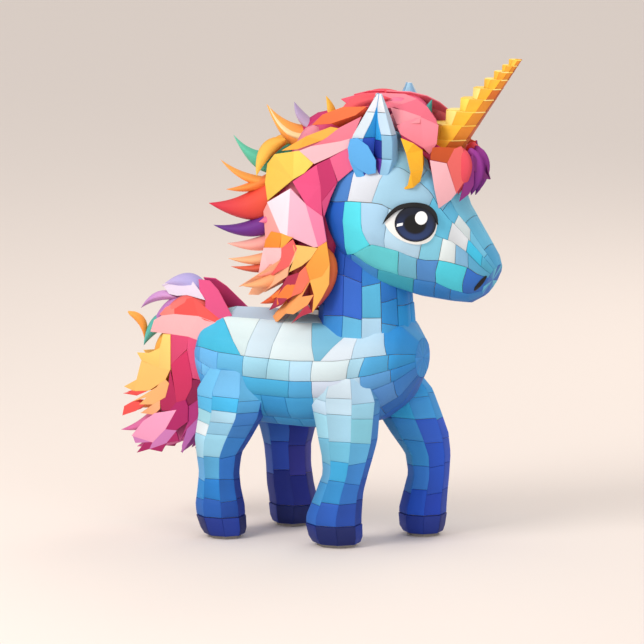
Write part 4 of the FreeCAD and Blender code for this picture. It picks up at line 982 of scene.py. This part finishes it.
FORELOCK_PANELS = (
    ("f4b424", ((107.1, 416.1), (120.7, 411.4), (128, 404.2), (128.7, 385), (117.9, 381.8), (113, 400.5))),
    ("eeac20", ((117.9, 381.8), (128.7, 385), (125.8, 373), (120.7, 367.1), (106.4, 363.4), (114.6, 369.2))),
    ("cc5420", ((136.8, 400), (138.8, 407.3), (144.4, 407.4), (157.3, 405.8), (150.1, 391), (136.8, 395.3))),
    ("7c2474", ((170.2, 398.5), (178.3, 383.4), (183.9, 372.1), (177.5, 374.1), (171, 382.3))),
    ("8c2c80", ((161.4, 407.1), (170.2, 398.5), (171.4, 382.3), (171, 367.4), (167, 358.4), (159.7, 351.7),
              (157.6, 359.8), (163.8, 372.1), (165.7, 392.7))),
    ("ee6a66", ((150.1, 391), (155.7, 404.9), (161.4, 407.1), (165.7, 392.7), (163.8, 372.1),
              (157.3, 359.8))),
    ("f6b8c0", ((136.2, 394.8), (149.7, 390.9), (157.3, 360.2), (153.3, 354.3), (143.6, 346.2),
              (140.4, 365.7))),
)


def crown_depth(x, z):
    """The panels curve in over the poll and draw in towards the horn."""
    return 27 * (max(0, z - 410) / 42) ** 2 + 0.3 * max(0, x - 112) - 38


def forelock_depth(x, z):
    """The yellow tuft clears the side of the brow, and the rest draw in towards the horn."""
    return -48.5 if x < 121 else 0.9 * max(0, x - 138) - 42


hair_piece("crown_locks", CROWN, hair_card, ("mane_crown",), mirror=True)
hair_piece("forelock_locks", FORELOCK, hair_card, ("forelock",), mirror=True)
card_piece("crown_panels", cut_panels(CROWN_PANELS, crown_depth), hair_card, "pinata_body",
           (), thick=PANEL, edge=0.0002)
card_piece("forelock_panels", cut_panels(FORELOCK_PANELS, forelock_depth), hair_card,
           "pinata_body", (), thick=PANEL, edge=0.0002)


# Tail: a card tube glued into the rump carries a plume of the same locks, with flat
# cut panels over them on both sides.
TAIL_MIDDLE = (
    ((-104, 216), (-141, 250), 12, 21, 0, 8, "d6457a", "e26a98"),
    ((-118, 236), (-167, 245), -8, 20, 0, 8, "9c9cd8", "c0b0e0"),
    ((-112, 224), (-170, 213), -6, 25, 0, 9, "f0504e", "f4786c"),
    ((-133, 236), (-183, 188), -10, 11, 0, 6, "c88ac8", "b070b8"),
    ((-150, 232), (-193, 218), -7, 10, 0, 6, "d49cd0", "b884c4"),
    ((-207, 214), (-189, 184), 8, 10, 0, 5, "f6a848", "ee8a34"),
    ((-150, 214), (-190, 180), -8, 16, 0, 7, "3ea8a0", "62c0b8"),
    ((-122, 220), (-134, 78), 26, 56, 0, 9, "d83c74", "982060"),
    ((-124, 160), (-198, 76), 20, 35, 0, 9, "c43a80", "e06ca4"),
    ((-150, 150), (-215.5, 92), 14, 19, 0, 8, "e88cb0", "d0609c"),
    ((-140, 178), (-206, 137), 12, 19, 0, 8, "f4c452", "f0a83c"),
)
TAIL_SIDE = (
    ((-112, 226), (-168, 206), -9, 22, -11, 5, "f25f5c", "f68078"),
    ((-118, 214), (-176, 196), -8, 16, -11, 4, "f4a8a8", "f0c0bc"),
    ((-118, 214), (-140, 90), 16, 44, -15, 6, "dc4c7c", "a82860"),
    ((-136, 200), (-176, 160), -8, 22, -8, 4, "f4b84c", "f0a040"),
    ((-134, 172), (-202, 118), 14, 20, -5, 3, "f0a850", "ee8c4c"),
    ((-130, 150), (-192, 88), 16, 22, -6, 3, "e890b4", "dc78a4"),
    ((-118, 136), (-144, 76), 6, 17, -14, 5, "b050a0", "983c88"),
)
TAIL_PANELS = (
    ("dccfe2", ((-169.6, 243.7), (-161.7, 246.9), (-134.5, 250.9), (-123.4, 242.5), (-115.5, 234),
              (-122, 235.1), (-137.6, 236.9), (-149.6, 235), (-159.9, 235.7))),
    ("d4447c", ((-127.2, 253.1), (-114.5, 252.6), (-104, 244.8), (-84.1, 221.5), (-91.6, 214.5),
              (-114.2, 227.2), (-115.6, 234.6), (-123.3, 241.9))),
    ("ee4c48", ((-151.1, 227.6), (-139.8, 233), (-129.4, 235.3), (-114.2, 227.5), (-91.6, 214.5),
              (-94.3, 212.1), (-112.5, 215.4), (-120, 218.5), (-148.7, 217.6))),
    ("f07c74", ((-167, 215.6), (-160.9, 223), (-151.1, 227.6), (-148.7, 217.6), (-163.7, 214.8))),
    ("dc4a78", ((-130.4, 197.7), (-114.9, 193.8), (-111.1, 188.6), (-117, 167.5), (-117, 153.9),
              (-125.3, 155.3), (-132.3, 181.7))),
    ("d2426e", ((-152.6, 197.5), (-130.4, 197.4), (-132.3, 184), (-152.1, 166))),
    ("f4aeb2", ((-177.6, 197), (-172.9, 209.4), (-163.7, 214.9), (-148.8, 217.9), (-120, 218.7),
              (-94.3, 212.4), (-98.4, 207.6), (-106, 194.1), (-114.9, 193.3), (-130.7, 197.2),
              (-152.6, 197.3))),
    ("8c1048", ((-125.3, 154), (-117, 153.9), (-114.7, 143.1), (-119.1, 133.5), (-132.3, 125.8),
              (-144.8, 124.3), (-133.9, 132), (-126.1, 146.1))),
    ("b02c78", ((-114.7, 143.1), (-112.9, 125.1), (-119.1, 115.6), (-132.3, 102.7), (-140.1, 90.2),
              (-131.1, 110.6), (-130.7, 126.2), (-119.1, 133.7))),
    ("b060a8", ((-112.9, 125.1), (-111.5, 113.5), (-123.2, 98.5), (-138.6, 77.4), (-138.6, 85.2),
              (-132.3, 102.7), (-119.1, 115.6))),
    ("b01c54", ((-152.9, 161), (-144, 127.9), (-144.5, 120.1), (-163.5, 117.9), (-166.7, 128.6),
              (-155.7, 142.8))),
    ("c8285c", ((-152.1, 166.2), (-132.3, 183.2), (-125.7, 156.5), (-126.1, 146.1), (-133.9, 132),
              (-144.8, 127.6))),
    ("e8504c", ((-210.5, 130.6), (-194.8, 135.3), (-179.1, 137.1), (-194.8, 129.5))),
    ("e8504c", ((-211.2, 107.8), (-209.1, 117.7), (-199.4, 123.5), (-183.8, 122.1), (-196.3, 113.5))),
    ("f0a878", ((-190.1, 112.3), (-177.6, 120.9), (-165.6, 128.7), (-165.6, 119.6), (-172.9, 112.6))),
    ("f2b070", ((-152.9, 161.2), (-154.2, 146.8), (-158.8, 132.1), (-174.5, 122.9), (-191.6, 120.9),
              (-200.2, 122.8), (-182.3, 129.4), (-169.8, 141.2), (-158.8, 150.4))),
    ("f4bc68", ((-188.8, 166.2), (-166.7, 162.2), (-152.6, 161.3), (-158.8, 149.9), (-179.1, 136.6),
              (-197.9, 133.8), (-209.1, 137.8), (-194.8, 146.1))),
    ("f6ca70", ((-161.7, 196.5), (-152.4, 197.1), (-152.4, 161), (-167, 161.9), (-166, 181.7),
              (-163.5, 188.5))),
    ("f4c468", ((-165.7, 181.8), (-166.7, 161.9), (-188.5, 166.5), (-194, 174), (-179.1, 175.1))),
    ("a81860", ((-145.6, 128.4), (-133.6, 132.6), (-130.4, 126.2), (-130.7, 110.6), (-141.7, 89.7),
              (-163.5, 75.8), (-194.8, 71), (-179.1, 76.6), (-157.3, 85.6), (-145.6, 99.9))),
    ("c878b4", ((-145.6, 120.9), (-144.5, 100), (-157.3, 85.4), (-179.1, 76.4), (-196.3, 80.9),
              (-199.4, 87.3), (-174.5, 84.6), (-159.2, 99.6))),
    ("ee9cc0", ((-200.9, 87.8), (-186.9, 104.2), (-172.1, 114.4), (-144.8, 121.1), (-158.5, 99.5),
              (-174.5, 84))),
)


def tail_depth(x, z):
    """The panels stand widest at the rump and meet over the tail's tips and crest."""
    return 22 * max(0, min(1, (-125 - x) / 75)) + 0.5 * max(0, z - 214) - 27


hair_piece("tail_middle_locks", TAIL_MIDDLE, hair_card, ("tail_middle",))
hair_piece("tail_side_locks", TAIL_SIDE, hair_card, ("tail_right", "tail_left"), mirror=True)
card_piece("tail_panels", cut_panels(TAIL_PANELS, tail_depth), hair_card, "pinata_body",
           (), thick=PANEL, edge=0.0002)
finish_node(paper("tail_tube", "c83a6c", clouds=0.1, fibres=0.1, gloss=0.6, relief=0.3), "tail_stub")


# Hanger: a steel clip is pinned through the back of the body to a plate of board
# inside, and holds the ring that the figure hangs from.
def metal(name, tint, rough):
    """Bare metal with fine wear scratches and cloudy polish."""
    material = bpy.data.materials.new(name)
    material.use_nodes = True
    nodes, links = material.node_tree.nodes, material.node_tree.links
    shader = nodes["Principled BSDF"]
    shader.inputs["Base Color"].default_value = colour(tint)
    shader.inputs["Metallic"].default_value = 1
    place = nodes.new("ShaderNodeTexCoord")
    stretch = nodes.new("ShaderNodeMapping")
    stretch.inputs["Scale"].default_value = (60, 900, 900)
    scratch = nodes.new("ShaderNodeTexNoise")
    scratch.inputs["Scale"].default_value = 1
    scratch.inputs["Detail"].default_value = 3
    spread = nodes.new("ShaderNodeMapRange")
    spread.inputs["To Min"].default_value = rough - 0.08
    spread.inputs["To Max"].default_value = rough + 0.16
    links.new(place.outputs["Object"], stretch.inputs["Vector"])
    links.new(stretch.outputs["Vector"], scratch.inputs["Vector"])
    links.new(scratch.outputs["Fac"], spread.inputs["Value"])
    links.new(spread.outputs[0], shader.inputs["Roughness"])
    return material


finish_node(metal("steel_clip", "b4b6ba", 0.32), "hanger_clip", "hanger_pin")
finish_node(metal("steel_ring", "c4c6ca", 0.24), "hanging_ring")
finish_node(metal("brass_fastener", "c8a24e", 0.34), "hanger_fasteners")
finish_node(grey_board, "hanger_plate")


# Table, light and camera: a flat pale floor of paper under a soft key from the upper left,
# a wide fill from the right and an even pale room.
def flat_material(name, tint, rough):
    """One even tone with no gloss of its own."""
    material = bpy.data.materials.new(name)
    material.use_nodes = True
    shader = material.node_tree.nodes["Principled BSDF"]
    shader.inputs["Base Color"].default_value = colour(tint)
    shader.inputs["Roughness"].default_value = rough
    return material


mesh = bmesh.new()
FLOOR_HALF, FLOOR_DROP = 60, 0.0002
bmesh.ops.create_grid(mesh, x_segments=1, y_segments=1, size=FLOOR_HALF)
bmesh.ops.translate(mesh, verts=mesh.verts, vec=(0, 0, -FLOOR_DROP))
data = bpy.data.meshes.new("floor")
mesh.to_mesh(data)
mesh.free()
data.materials.append(flat_material("floor_paper", "ece3dc", 0.9))
floor = bpy.data.objects.new("floor", data)
bpy.context.scene.collection.objects.link(floor)


def soft_light(name, place, aim, size, power, tint):
    """A round area light at place that faces aim."""
    lamp = bpy.data.lights.new(name, "AREA")
    lamp.shape = "DISK"
    lamp.size = size
    lamp.energy = power
    lamp.color = colour(tint)[:3]
    thing = bpy.data.objects.new(name, lamp)
    thing.location = place
    thing.rotation_euler = (Vector(aim) - Vector(place)).to_track_quat("-Z", "Y").to_euler()
    bpy.context.scene.collection.objects.link(thing)


soft_light("key_light", (-0.75, -1.35, 1.5), (0, 0, 0.22), 0.9, 20, "fffaf5")
soft_light("fill_light", (1.5, -1.2, 0.7), (0, 0, 0.22), 1.4, 4, "f2f4ff")
soft_light("back_light", (0.2, 1.5, 1.3), (0, 0, 0.25), 1.2, 7, "fff4ea")
world = bpy.data.worlds.new("room")
world.use_nodes = True
world.node_tree.nodes["Background"].inputs["Color"].default_value = colour("f4efec")
world.node_tree.nodes["Background"].inputs["Strength"].default_value = 0.88
bpy.context.scene.world = world
bpy.context.scene.view_settings.view_transform = "Standard"

lens = bpy.data.cameras.new("camera")
camera = bpy.data.objects.new("camera", lens)
aim = Vector((0.0038, 0, 0.2168))
turn, rise, distance, view_width = math.radians(22), math.radians(10), 10, 0.644
camera.location = aim + distance * Vector((math.sin(turn) * math.cos(rise), -math.cos(turn) * math.cos(rise),
                                           math.sin(rise)))
camera.rotation_euler = (aim - camera.location).to_track_quat("-Z", "Y").to_euler()
lens.sensor_width = 36
lens.lens = 36 * distance / view_width
lens.clip_end = 200
bpy.context.scene.collection.objects.link(camera)
bpy.context.scene.camera = camera
